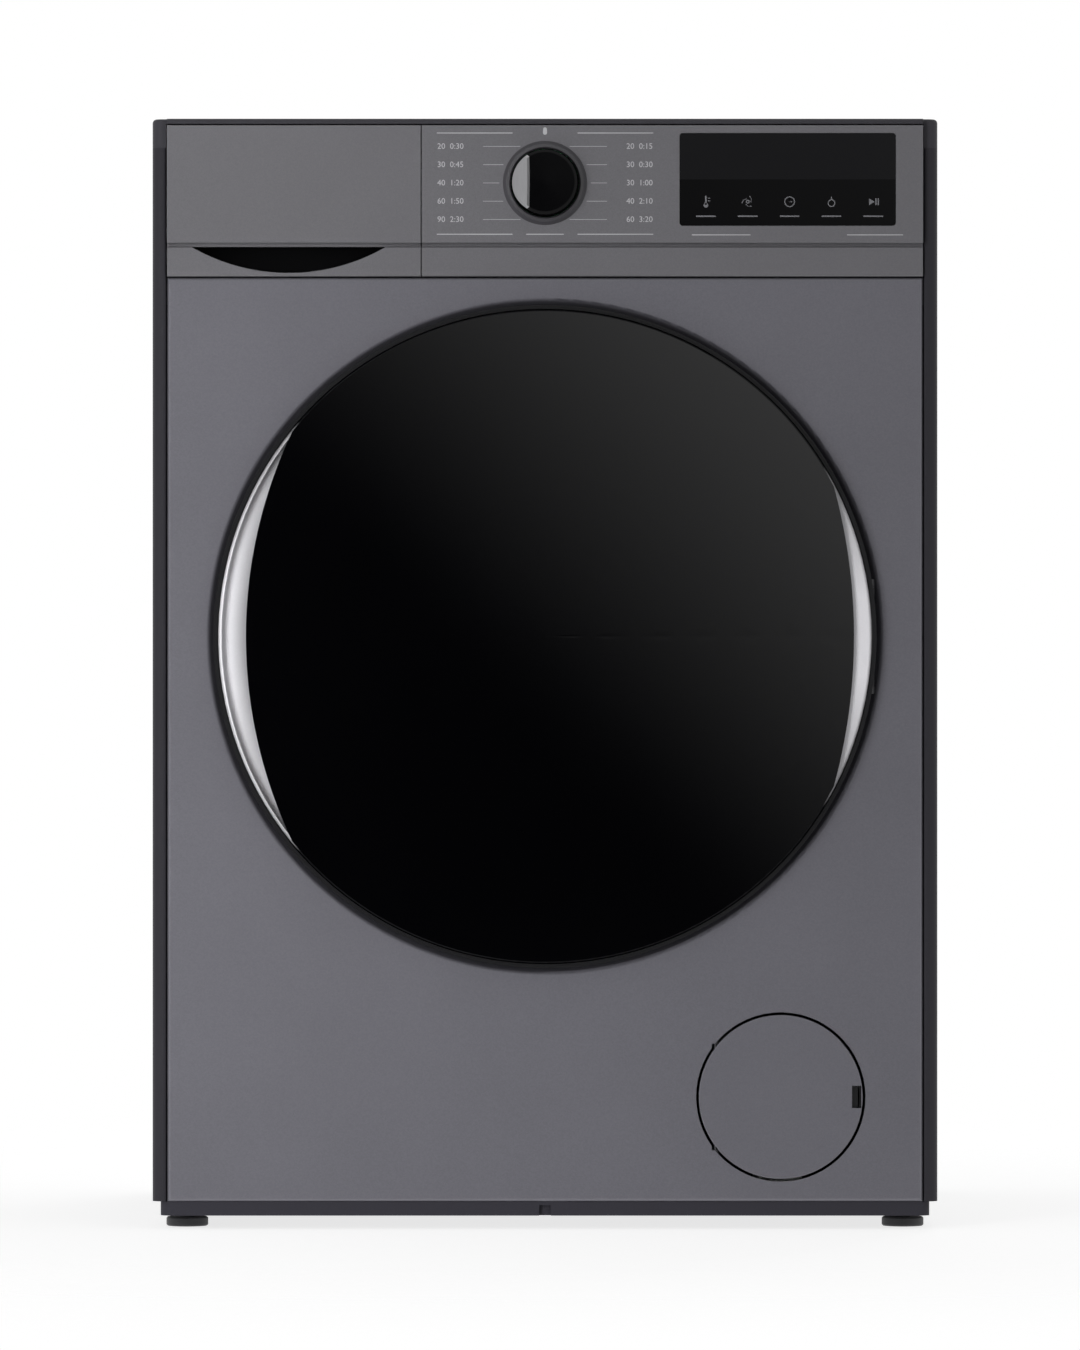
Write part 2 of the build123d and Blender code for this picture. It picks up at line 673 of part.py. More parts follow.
def base_tray():
    """Moulded base: visible skirt, inner walls, ribs, foot bosses and damper ears."""
    skirt_half = HALF_WIDTH - SKIRT_INSET
    inner = tray_half()
    wall_half = inner + TRAY_WALL
    front = HEM + SKIRT_SETBACK
    back = CABINET_DEPTH - REAR_FLANGE
    z_walls = Z_SKIRT + TRAY_HEIGHT
    skirt_back = CABINET_DEPTH - SKIRT_SETBACK
    tray = block(-skirt_half, skirt_half, SKIRT_SETBACK, skirt_back, Z_SKIRT, Z_PANEL - FIT)
    tray = fillet(tray.edges().filter_by(Axis.Z), CORNER_RADIUS)
    tray += block(-wall_half, wall_half, front, back, Z_SKIRT, z_walls)
    tray -= block(-inner, inner, front + TRAY_WALL, back - TRAY_WALL, Z_FLOOR, z_walls + TRAY_WALL)
    for i in range(TRAY_RIBS):
        rib_x = tray_rib_x(i)
        tray += block(rib_x - TRAY_WALL / 2, rib_x + TRAY_WALL / 2, front, back, Z_FLOOR, Z_FLOOR + TRAY_RIB)
    boss = FOOT_STEM + TRAY_WALL
    boss_top = Z_SKIRT + FOOT_STEM_LENGTH + TRAY_WALL
    for x, d in foot_places().values():
        tray += post(boss, x, d, Z_SKIRT, boss_top)
        tray -= post(FOOT_STEM + RUNNING, x, d, Z_SKIRT - TRAY_WALL, Z_SKIRT + FOOT_STEM_LENGTH + FIT)
    eye_half = DAMPER_EYE_WIDTH / 2
    for x in (-DAMPER_LOW_X, DAMPER_LOW_X):
        for d0 in (-eye_half - FIT - DAMPER_EAR, eye_half + FIT):
            ear_d = DAMPER_DEPTH + d0
            ear_top = DAMPER_LOW_Z + DAMPER_EYE
            tray += block(x - DAMPER_EYE, x + DAMPER_EYE, ear_d, ear_d + DAMPER_EAR, Z_FLOOR, ear_top)
        tray += bar(DAMPER_PIN, DAMPER_DEPTH - eye_half - FIT, DAMPER_DEPTH + eye_half + FIT, x, DAMPER_LOW_Z)
    room = collar_radius() + COLLAR_ROOM
    tray -= bar(room, SKIRT_SETBACK + NOTCH_DEPTH, COLLAR_DEPTH + COLLAR_ROOM, FLAP_X, FLAP_Z)
    notch_half = NOTCH_WIDTH / 2
    z_notch = Z_SKIRT + NOTCH_HEIGHT
    tray -= block(-notch_half, notch_half, 0, SKIRT_SETBACK + NOTCH_DEPTH, Z_SKIRT - SHEET, z_notch)
    return tray


def foot(x, d):
    """Levelling foot: rubber-shod pad, hexagon collar and stem."""
    pad = [
        (0, 0),
        (FOOT_RADIUS - SHEET, 0),
        (FOOT_RADIUS, SHEET),
        (FOOT_RADIUS, FOOT_PAD - SHEET),
        (FOOT_RADIUS - SHEET, FOOT_PAD),
        (0, FOOT_PAD),
    ]
    turned = Pos(x, Y_FRONT + d, 0) * revolve(Plane.XZ * polygon(*pad), Axis.Z)
    hexagon = extrude(RegularPolygon(2 * FOOT_STEM, 6), amount=FOOT_HEIGHT - FIT - FOOT_PAD)
    collar = Pos(x, Y_FRONT + d, FOOT_PAD) * hexagon
    return turned + collar + post(FOOT_STEM, x, d, FOOT_PAD, Z_SKIRT + FOOT_STEM_LENGTH)


def fascia_section():
    """The fascia's outer section as depth and height: face, crease and lower band."""
    face = polygon(
        (FASCIA_DEPTH, Z_FASCIA_TOP),
        (-FASCIA_PROUD, Z_FASCIA_TOP),
        (-FASCIA_PROUD, Z_CREASE + CREASE / 2),
        (CREASE_FLOOR, Z_CREASE + CREASE / 2),
        (CREASE_FLOOR, Z_CREASE - CREASE / 2),
        (-BAND_PROUD, Z_CREASE - CREASE / 2),
        (-BAND_PROUD, Z_FASCIA_LOW),
        (FASCIA_DEPTH, Z_FASCIA_LOW),
    )
    front = face.vertices().filter_by(lambda v: v.X < 0)
    return fillet(front, FASCIA_EDGE)


def fascia_shell(x0, x1):
    """A moulding of the fascia's section, open at the back."""
    section = fascia_section()
    wall = MOULDED_WALL
    shell = beam(section, x0, x1) - beam(offset(section, -wall), x0 + wall, x1 - wall)
    back = FASCIA_DEPTH - 2 * wall
    low = Z_FASCIA_LOW + wall
    high = Z_FASCIA_TOP - wall
    return shell - block(x0 + wall, x1 - wall, back, FASCIA_DEPTH + wall, low, high)


def window_place():
    """The display window's left, right, low and high edges."""
    right = PANEL_HALF - WINDOW_MARGIN
    top = Z_FASCIA_TOP - WINDOW_TOP
    return right - WINDOW_WIDTH, right, top - WINDOW_HEIGHT, top


def window_outline(grow):
    """The window's rounded outline in the front view, grown all round."""
    x0, x1, z0, z1 = window_place()
    middle = Pos((x0 + x1) / 2, (z0 + z1) / 2)
    return middle * RectangleRounded(x1 - x0 + 2 * grow, z1 - z0 + 2 * grow, WINDOW_CORNER)


def board_posts():
    """Places of the four posts that carry the display board, as X and Z."""
    x0, x1, z0, z1 = window_place()
    left = -BEZEL_RADIUS - WINDOW_LIP
    right = x1 + WINDOW_LIP + MOULDED_WALL
    low = Z_CREASE + CREASE + MOULDED_WALL
    return [(left, low), (left, z1), (right, low), (right, z1)]


def control_fascia():
    """Control panel moulding with the window's and dial's openings and the board's posts."""
    fascia = fascia_shell(DRAWER_RIGHT + PANEL_GAP, PANEL_HALF)
    through = -FASCIA_PROUD + 2 * MOULDED_WALL
    fascia -= pressed(window_outline(FIT), -FASCIA_PROUD - SHEET, through)
    fascia -= bar(BEZEL_RADIUS - MOULDED_WALL, -FASCIA_PROUD - SHEET, through, 0, Z_DIAL)
    for x, z in board_posts():
        fascia += bar(MOULDED_WALL, -FASCIA_PROUD + MOULDED_WALL / 2, BOARD_FRONT, x, z)
    return fascia


def display_window():
    """Gloss pane that fills the opening, with a flange behind the fascia's wall."""
    back = -FASCIA_PROUD + MOULDED_WALL
    pane = pressed(window_outline(0), -FASCIA_PROUD - FIT, back)
    return pane + pressed(window_outline(WINDOW_LIP), back, back + WINDOW_FLANGE)


def display_board():
    """Circuit board behind the fascia, with the display module and a row of chips."""
    x0, x1, z0, z1 = window_place()
    left = -BEZEL_RADIUS - 2 * WINDOW_LIP
    right = x1 + 2 * WINDOW_LIP
    low = Z_CREASE + CREASE
    back = BOARD_FRONT + BOARD_THICK
    board = block(left, right, BOARD_FRONT, back, low, z1 + MOULDED_WALL)
    module_front = -FASCIA_PROUD + MOULDED_WALL + WINDOW_FLANGE + FIT
    z_module = (z0 + z1) / 2
    board += block(x0 + WINDOW_LIP, x1 - WINDOW_LIP, module_front, BOARD_FRONT, z_module, z1 - WINDOW_LIP)
    for i in range(CHIP_COUNT):
        chip_left = x0 + (i + 0.5) * WINDOW_WIDTH / CHIP_COUNT - BOARD_ROOM
        chip_right = chip_left + 2 * BOARD_ROOM
        board += block(chip_left, chip_right, back, back + BOARD_THICK, z0, z0 + 2 * BOARD_ROOM)
    return board - bar(DIAL_STEM + MOULDED_WALL, 0, FASCIA_DEPTH, 0, Z_DIAL)


def dial_bezel():
    """Ring round the dial, with a spigot in the fascia's hole."""
    inner = DIAL_RADIUS + BEZEL_GAP
    spigot = BEZEL_RADIUS - MOULDED_WALL
    face = -FASCIA_PROUD
    profile = polygon(
        (inner, face - BEZEL_RISE + SHEET),
        (inner + SHEET, face - BEZEL_RISE),
        (spigot, face - BEZEL_RISE + SHEET / 2),
        (BEZEL_RADIUS, face),
        (spigot, face),
        (spigot, face + MOULDED_WALL + SHEET),
        (inner, face + MOULDED_WALL + SHEET),
    )
    return spun(profile, 0, Z_DIAL)


def dial_blank():
    """The dial before its facet is cut: a drafted knob with a slightly domed face."""
    front = -FASCIA_PROUD - DIAL_HEIGHT
    back = -FASCIA_PROUD + MOULDED_WALL
    knob = polygon(
        (0, front),
        (DIAL_RADIUS - 3 * SHEET, front + SHEET / 2),
        (DIAL_RADIUS - SHEET, front + 2 * SHEET),
        (DIAL_RADIUS, back),
        (0, back),
    )
    return spun(knob, 0, Z_DIAL)


def facet_wedge(rise):
    """Everything in front of the dial's sloping facet, with the facet lifted by rise."""
    front = -FASCIA_PROUD - DIAL_HEIGHT
    run = DIAL_RADIUS - DIAL_FACET
    length = hypot(run, DIAL_FACET_FALL)
    lift_x = -rise * DIAL_FACET_FALL / length
    lift_d = -rise * run / length
    wedge = polygon(
        (-DIAL_FACET + lift_x, front + lift_d),
        (-DIAL_FACET - 2 * run + lift_x, front + 2 * DIAL_FACET_FALL + lift_d),
        (-DIAL_FACET - 2 * run + lift_x, front - DIAL_HEIGHT),
        (-DIAL_FACET + lift_x, front - DIAL_HEIGHT),
    )
    return column(wedge, Z_DIAL - 2 * DIAL_RADIUS, Z_DIAL + 2 * DIAL_RADIUS)


def programme_dial():
    """Programme dial with its facet and the stem that turns in the encoder."""
    stem_end = BOARD_FRONT + BOARD_THICK + ENCODER_DEPTH - SHEET
    stem = bar(DIAL_STEM, -FASCIA_PROUD, stem_end, 0, Z_DIAL)
    return dial_blank() - facet_wedge(0) + stem


def dial_inlay():
    """Bright plate that fills the dial's facet."""
    return (dial_blank() & facet_wedge(0)) - facet_wedge(INLAY_THICK)


def dial_encoder():
    """Encoder body on the back of the board, with the dial's stem in its bore."""
    half = ENCODER_SIZE / 2
    front = BOARD_FRONT + BOARD_THICK
    body = block(-half, half, front, front + ENCODER_DEPTH, Z_DIAL - half, Z_DIAL + half)
    body = fillet(body.edges().filter_by(Axis.Y), 2 * SHEET)
    return body - bar(DIAL_STEM + RUNNING, front - SHEET, front + ENCODER_DEPTH + SHEET, 0, Z_DIAL)


def pull_segment():
    """The finger opening in the drawer front: a circle's segment under the crease."""
    x = (-PANEL_HALF + DRAWER_RIGHT) / 2 - PULL_SHIFT
    top = Z_CREASE - CREASE / 2
    circle = Pos(x, top - PULL_DEPTH + PULL_RADIUS) * Circle(PULL_RADIUS)
    return circle & (Pos(x, top - PULL_DEPTH) * Rectangle(2 * PULL_RADIUS, 2 * PULL_DEPTH))


def drawer_front():
    """Drawer front: the fascia's section with the finger opening through its lower band."""
    shell = fascia_shell(-PANEL_HALF, DRAWER_RIGHT)
    return shell - pressed(pull_segment(), -FASCIA_PROUD, CREASE_FLOOR + 2 * MOULDED_WALL)


def tray_box():
    """The drawer tray's outer left, right, front, back, low and high faces."""
    left = -PANEL_HALF + DRAWER_SIDE
    right = DRAWER_RIGHT - DRAWER_SIDE
    low = Z_FASCIA_LOW + DRAWER_LOW
    high = Z_FASCIA_TOP - DRAWER_TOP
    return left, right, FASCIA_DEPTH, FASCIA_DEPTH + DRAWER_LENGTH, low, high


def tray_spans():
    """The three compartments' inner spans across the tray: prewash, softener, main wash."""
    left, right = tray_box()[:2]
    wall = DRAWER_WALL
    prewash = left + wall + PREWASH_WIDTH
    softener = prewash + wall + SOFTENER_WIDTH
    return [(left + wall, prewash), (prewash + wall, softener), (softener + wall, right - wall)]


def drawer_tray():
    """Drawer tray with three compartments and the plate that carries the drawer front."""
    left, right, front, back, low, high = tray_box()
    wall = DRAWER_WALL
    tray = block(left, right, front - TRAY_PLATE, back, low, high)
    tray = fillet(tray.edges().filter_by(Axis.Z).sort_by(Axis.Y)[2:], 4 * wall)
    for x0, x1 in tray_spans():
        cavity = block(x0, x1, front + wall, back - wall, low + wall, high + wall)
        tray -= fillet(cavity.edges().filter_by(Axis.Z) + cavity.faces().sort_by(Axis.Z)[0].edges(), 2 * wall)
    wall_out = MOULDED_WALL
    plate_left = -PANEL_HALF + wall_out
    plate_right = DRAWER_RIGHT - wall_out
    z0 = Z_FASCIA_LOW + wall_out
    z1 = Z_FASCIA_TOP - wall_out
    return tray + block(plate_left, plate_right, front - TRAY_PLATE, front - wall, z0, z1)


def softener_siphon():
    """Siphon insert over the back of the softener compartment."""
    left, right, front, back, low, high = tray_box()
    x0, x1 = tray_spans()[1]
    wall = DRAWER_WALL
    d1 = back - wall
    d0 = d1 - SIPHON_LENGTH
    plate = block(x0 - wall / 2, x1 + wall / 2, d0, d1, high, high + SIPHON_PLATE)
    x = (x0 + x1) / 2
    d = d1 - 2 * SIPHON_TUBE - wall
    tube = post(SIPHON_TUBE, x, d, low + 2 * wall, high)
    return plate + tube - post(SIPHON_TUBE - wall, x, d, low, high)


def dispenser_housing():
    """Housing that the drawer slides in, open at the front, with an outlet spigot below."""
    left, right, front, back, low, high = tray_box()
    room = HOUSING_ROOM
    wall = HOUSING_WALL
    d0 = FASCIA_DEPTH + PANEL_GAP
    d1 = back + room + wall
    z0 = low - room - wall
    z1 = high + 2 * room + wall
    box = block(left - room - wall, right + room + wall, d0, d1, z0, z1)
    box = fillet(box.edges().filter_by(Axis.Y), 2 * wall)
    box -= block(left - room, right + room, d0 - wall, d1 - wall, z0 + wall, z1 - wall)
    spigot_low = z0 - OUTLET_DROP
    spigot_d = back - 2 * OUTLET_SPIGOT
    box += post(OUTLET_SPIGOT, OUTLET_X, spigot_d, spigot_low, z0 + wall)
    return box - post(OUTLET_SPIGOT - wall, OUTLET_X, spigot_d, spigot_low - wall, z0 + 2 * wall)


def lens_outline(left_shift, inset):
    """The door cover's outline: the door's circle between two large side arcs, drawn in."""
    circle = Pos(0, Z_AXIS) * Circle(COVER_RADIUS - inset)
    left = Pos(LEFT_ARC - LEFT_REACH + left_shift, Z_AXIS) * Circle(LEFT_ARC)
    right = Pos(RIGHT_REACH - RIGHT_ARC - inset, Z_AXIS) * Circle(RIGHT_ARC)
    return circle & left & right


def cover_dome():
    """The door cover's domed body down to the silver frame's face."""
    slope_radius = SILVER_RADIUS - SILVER_SLOPE
    slope = (SILVER_FACE - SILVER_RIM) / SILVER_SLOPE
    rim_depth = -SILVER_RIM - COVER_INSET * slope - COVER_GAP
    rise = COVER_APEX - COVER_EDGE
    middle = (COVER_RADIUS / 2, -COVER_EDGE - rise * 3 / 4)
    dome = ThreePointArc((0, -COVER_APEX), middle, (COVER_RADIUS, -COVER_EDGE))
    sides = Polyline(
        (COVER_RADIUS, -COVER_EDGE),
        (COVER_RADIUS, rim_depth),
        (slope_radius, -SILVER_FACE - COVER_GAP),
        (0, -SILVER_FACE - COVER_GAP),
        (0, -COVER_APEX),
    )
    return spun(make_face(dome + sides))


def door_cover():
    """Domed gloss cover, cut by two large arcs, hollow behind with a broad land at the grip."""
    cover = cover_dome() & pressed(lens_outline(0, 0), -2 * COVER_APEX, 0)
    land = GRIP_UNDERCUT + GRIP_LAND
    room = pressed(lens_outline(land, COVER_WALL * 2), -COVER_APEX, 0)
    seat = SILVER_FACE + COVER_GAP
    height = COVER_APEX - COVER_WALL - seat
    reach = COVER_RADIUS * (height / (COVER_APEX - COVER_EDGE)) ** 0.5
    vault = ThreePointArc((0, -seat - height), (reach / 2, -seat - height * 3 / 4), (reach, -seat))
    floor = Polyline((reach, -seat), (0, -seat), (0, -seat - height))
    return cover - (spun(make_face(vault + floor)) & room)


def grip_outline(wall):
    """The finger pocket's crescent at the door's left edge, drawn with its wall."""
    circle = Pos(0, Z_AXIS) * Circle(SILVER_RADIUS - MOULDED_WALL + wall)
    shift = GRIP_UNDERCUT
    return circle - Pos(LEFT_ARC - LEFT_REACH + shift, Z_AXIS) * Circle(LEFT_ARC - wall)


def hinge_pocket():
    """Room for the hinge in the right-hand edge of the door, behind the silver skin."""
    half = HINGE_POCKET / 2
    left = HINGE_X - HINGE_POCKET_WIDTH
    front = HINGE_DEPTH - HINGE_KNUCKLE - HINGE_GAP
    rounded = block(left, 2 * DOOR_RADIUS, front, 2 * RECESS, Z_AXIS - half, Z_AXIS + half)
    return fillet(rounded.edges().filter_by(Axis.Y).sort_by(Axis.X)[:2], 2 * BACK_CHAMFER)


def door_frame():
    """Silver ring of the door with its sloping face, inner wall and finger pocket."""
    wall = MOULDED_WALL
    points = [
        (SILVER_RADIUS, -SILVER_SKIRT),
        (SILVER_RADIUS, -SILVER_RIM),
        (SILVER_RADIUS - SILVER_SLOPE, -SILVER_FACE),
        (GLASS_INNER + wall, -SILVER_FACE),
        (GLASS_INNER + wall, DOOR_SEAT - BACK_WALL - GLASS_FLANGE_THICK),
    ]
    ring = spun(strip(points, [SHEET_BEND * 2, wall * 2, wall * 2], wall, Side.RIGHT))
    floor = pressed(grip_outline(wall), -SILVER_FACE + wall, -GRIP_FLOOR + wall)
    keep = bar(SILVER_RADIUS - SHEET, -2 * SILVER_FACE, 0)
    grip = pressed(grip_outline(0), -2 * SILVER_FACE, -GRIP_FLOOR)
    body = spun(frame_envelope())
    return ring + (floor & keep & body) - grip - hinge_pocket()


def frame_envelope():
    """The space behind the silver ring's front face, as radius and depth."""
    return polygon(
        (0, 0),
        (SILVER_RADIUS, 0),
        (SILVER_RADIUS, -SILVER_RIM),
        (SILVER_RADIUS - SILVER_SLOPE, -SILVER_FACE),
        (0, -SILVER_FACE),
    )


def door_back_frame():
    """Black ring behind the silver one: rim, floor that clamps the glass, ribs, latch ears."""
    wall = BACK_WALL
    profile = polygon(
        (DOOR_RADIUS, -BACK_RIM),
        (DOOR_RADIUS, DOOR_SEAT - BACK_CHAMFER),
        (DOOR_RADIUS - BACK_CHAMFER, DOOR_SEAT),
        (GLASS_NECK + wall, DOOR_SEAT),
        (GLASS_NECK + wall, DOOR_SEAT - wall),
        (DOOR_RADIUS - wall - BACK_CHAMFER, DOOR_SEAT - wall),
        (DOOR_RADIUS - wall, DOOR_SEAT - wall - BACK_CHAMFER),
        (DOOR_RADIUS - wall, -BACK_RIM),
    )
    ring = spun(profile)
    rib_in = GLASS_FLANGE + FIT
    rib_out = SILVER_RADIUS - SILVER_SLOPE - GRIP_UNDERCUT
    rib = Pos((rib_in + rib_out) / 2, Y_FRONT, 0) * Box(rib_out - rib_in, 2 * (DOOR_SEAT - wall), wall / 2)
    half_turn = Rot(0, 180 / BACK_RIBS, 0)
    ring += around(half_turn * rib, BACK_RIBS)
    slot_half = LATCH_WIDTH / 2 + LATCH_ROOM / 2
    left = -LATCH_REACH - LATCH_BOSS - LATCH_ROOM
    right = -LATCH_REACH + LATCH_BOSS + 2 * LATCH_ROOM
    ring -= block(left, right, -BACK_RIM, DOOR_SEAT + SHEET, Z_AXIS - slot_half, Z_AXIS + slot_half)
    boss = LATCH_BOSS
    for z0 in (Z_AXIS - slot_half - LATCH_EAR, Z_AXIS + slot_half):
        ear_front = LATCH_DEPTH - boss
        ear = block(-LATCH_REACH - boss, -LATCH_REACH + boss, ear_front, DOOR_SEAT - wall, z0, z0 + LATCH_EAR)
        ring += ear - post(LATCH_PIN + RUNNING, -LATCH_REACH, LATCH_DEPTH, z0 - SHEET, z0 + LATCH_EAR + SHEET)
    return ring - hinge_pocket()


def glass_form(shrink):
    """The door bowl's outer form, drawn in by a wall: a cone with a tilted, rounded end."""
    top = DOOR_SEAT - BACK_WALL
    back = top + GLASS_DEPTH - shrink
    neck = GLASS_NECK - shrink
    end = GLASS_END - shrink
    front = top - 2 * GLASS_FLANGE_THICK
    cone = spun(polygon((0, front), (neck, front), (neck, top), (end, back), (0, back)))
    tilt = polygon(
        (back, Z_AXIS - 2 * GLASS_END),
        (back + 2 * GLASS_TILT, Z_AXIS - 2 * GLASS_END),
        (back + 2 * GLASS_TILT, Z_AXIS + 2 * GLASS_END),
        (back - GLASS_TILT * 2, Z_AXIS + 2 * GLASS_END),
        (back, Z_AXIS - GLASS_END - GLASS_ROUND),
    )
    form = cone - beam(tilt, -2 * GLASS_END, 2 * GLASS_END)
    end_face = form.faces().sort_by(Axis.Y)[-1]
    return fillet(end_face.edges(), GLASS_ROUND - shrink)


def door_glass():
    """Pressed glass bowl with a clamping flange."""
    top = DOOR_SEAT - BACK_WALL
    flange = bar(GLASS_FLANGE, top - GLASS_FLANGE_THICK, top)
    bowl = glass_form(0) & bar(GLASS_FLANGE, top - GLASS_FLANGE_THICK, top + 2 * GLASS_DEPTH)
    return flange + bowl - glass_form(GLASS_WALL)


def hinge_arm_spans():
    """The two bracket arms' lower and upper faces."""
    near = HINGE_LEAF / 2 + HINGE_GAP
    far = near + HINGE_ARM
    return [(Z_AXIS - far, Z_AXIS - near), (Z_AXIS + near, Z_AXIS + far)]


def door_hinge_bracket():
    """Bracket behind the dish, with two arms that carry the hinge pin in front of it."""
    back = RECESS + SHEET
    left = HINGE_PLATE_REACH - HINGE_PLATE_WIDTH
    half = HINGE_LEAF / 2 + HINGE_ARM + 2 * HINGE_KNUCKLE
    bracket = block(left, HINGE_PLATE_REACH, back, back + HINGE_PLATE, Z_AXIS - half, Z_AXIS + half)
    knuckle = Pos(HINGE_X, HINGE_DEPTH) * Circle(HINGE_KNUCKLE)
    root = Pos(HINGE_PLATE_REACH - 2 * HINGE_KNUCKLE, back + HINGE_PLATE / 2)
    root = root * Rectangle(2 * HINGE_KNUCKLE, HINGE_PLATE)
    arm = make_hull(knuckle.edges() + root.edges())
    for z0, z1 in hinge_arm_spans():
        bracket += column(arm, z0, z1)
    return bracket - post(HINGE_PIN, HINGE_X, HINGE_DEPTH, Z_AXIS - half, Z_AXIS + half)


def door_hinge_leaf():
    """Leaf screwed to the door's back frame, with a knuckle on the pin."""
    half = HINGE_LEAF / 2
    seat = DOOR_SEAT - BACK_WALL
    knuckle = Pos(HINGE_X, HINGE_DEPTH) * Circle(HINGE_KNUCKLE)
    left = HINGE_X - LEAF_REACH
    middle = HINGE_X - HINGE_POCKET_WIDTH
    web = Pos(middle, seat - HINGE_PLATE / 2) * Rectangle(HINGE_KNUCKLE, HINGE_PLATE)
    leaf = column(make_hull(knuckle.edges() + web.edges()), Z_AXIS - half, Z_AXIS + half)
    leaf += block(left, middle, seat - HINGE_PLATE, seat, Z_AXIS - half, Z_AXIS + half)
    return leaf - post(HINGE_PIN + RUNNING, HINGE_X, HINGE_DEPTH, Z_AXIS - 2 * half, Z_AXIS + 2 * half)


def hinge_pin():
    """Steel pin through both arms and the leaf's knuckle."""
    reach = HINGE_LEAF / 2 + HINGE_GAP + HINGE_ARM
    return post(HINGE_PIN, HINGE_X, HINGE_DEPTH, Z_AXIS - reach, Z_AXIS + reach)


def latch_hook():
    """Hook that swings on its trunnions and catches in the lock."""
    half = LATCH_WIDTH / 2
    boss = LATCH_BOSS
    x = -LATCH_REACH
    hook = polygon(
        (x - boss, LATCH_DEPTH),
        (x + boss, LATCH_DEPTH),
        (x + boss, LATCH_TIP - boss),
        (x, LATCH_TIP),
        (x - boss - LATCH_TOOTH, LATCH_TIP - boss),
        (x - boss - LATCH_TOOTH, LATCH_TIP - 2 * boss),
        (x - boss, LATCH_TIP - 2 * boss),
    )
    body = column(hook, Z_AXIS - half, Z_AXIS + half)
    body += post(boss, x, LATCH_DEPTH, Z_AXIS - half, Z_AXIS + half)
    reach = half + LATCH_ROOM / 2 + LATCH_EAR
    return body + post(LATCH_PIN, x, LATCH_DEPTH, Z_AXIS - reach, Z_AXIS + reach)


def door_lock():
    """Lock housing behind the dish, with a mouth for the hook."""
    front = RECESS + SHEET
    x = -LATCH_REACH - LATCH_TOOTH / 2
    half = LOCK_WIDTH / 2
    z_half = LOCK_HEIGHT / 2
    body = block(x - half, x + half, front, front + LOCK_DEPTH, Z_AXIS - z_half, Z_AXIS + z_half)
    body = fillet(body.edges().filter_by(Axis.Y), 2 * BACK_CHAMFER)
    room = LATCH_BOSS + LATCH_TOOTH + 2 * LATCH_ROOM
    mouth_half = LATCH_WIDTH / 2 + LATCH_ROOM
    mouth_back = LATCH_TIP + LATCH_ROOM
    return body - block(x - room, x + room, 0, mouth_back, Z_AXIS - mouth_half, Z_AXIS + mouth_half)


def door_gasket():
    """Bellows between the dish's mouth and the tub's neck."""
    neck = TUB_NECK_RADIUS + TUB_WALL + FIT
    neck_front = TUB_FRONT - TUB_NECK
    fold = (RECESS + neck_front) / 2
    lip_face = RECESS - FIT - GASKET_WALL
    points = [
        (MOUTH_RADIUS + GASKET_WALL, lip_face),
        (MOUTH_RADIUS - 3 * GASKET_WALL, lip_face),
        (GASKET_LIP, lip_face + 4 * GASKET_WALL),
        (GASKET_LIP, fold),
        (GASKET_FOLD, fold + GASKET_WALL),
        (GASKET_FOLD, neck_front - 3 * GASKET_WALL),
        (neck, neck_front - GASKET_WALL),
        (neck, TUB_FRONT - FIT - GASKET_WALL),
    ]
    return spun(strip(points, [GASKET_BEND] * 6, GASKET_WALL, Side.RIGHT))


def tub_front():
    """Front half of the tub: neck, front wall, drum wall and joint flange."""
    flange = TUB_RADIUS + TUB_FLANGE
    points = [
        (TUB_NECK_RADIUS + TUB_WALL, TUB_FRONT - TUB_NECK),
        (TUB_NECK_RADIUS + TUB_WALL, TUB_FRONT),
        (TUB_RADIUS, TUB_FRONT),
        (TUB_RADIUS, TUB_JOINT),
    ]
    bends = [TUB_WALL / 2, 3 * TUB_WALL]
    tub = spun(strip(points, bends, TUB_WALL, Side.LEFT))
    tub += bar(flange, TUB_JOINT - TUB_FLANGE_THICK, TUB_JOINT) - bar(TUB_RADIUS - SHEET, TUB_FRONT, TUB_BACK)
    plug_low = Z_AXIS - DRUM_RADIUS - DRUM_ROOM / 2 - HEATER_PLUG / 2
    plug_high = plug_low + HEATER_PLUG
    plug_half = HEATER_PLUG_WIDTH / 2
    tub -= block(-plug_half, plug_half, TUB_FRONT - TUB_WALL, DRUM_FRONT, plug_low, plug_high)
    x = sump_x()
    surface = Z_AXIS - (TUB_RADIUS**2 - x**2) ** 0.5
    d = sump_depth()
    spigot = post(SUMP_SPIGOT, x, d, surface - SUMP_SPIGOT_DROP, surface + SUMP_SPIGOT)
    tub += spigot - bar(TUB_RADIUS - SHEET, TUB_FRONT, TUB_JOINT)
    bore_low = surface - 2 * SUMP_SPIGOT_DROP
    return tub - post(SUMP_SPIGOT - HOSE_WALL, x, d, bore_low, surface + 2 * SUMP_SPIGOT)


def sump_x():
    return FLAP_X - PUMP_INLET


def sump_depth():
    return FILTER_SEAT + PUMP_INLET_BACK + PUMP_INLET


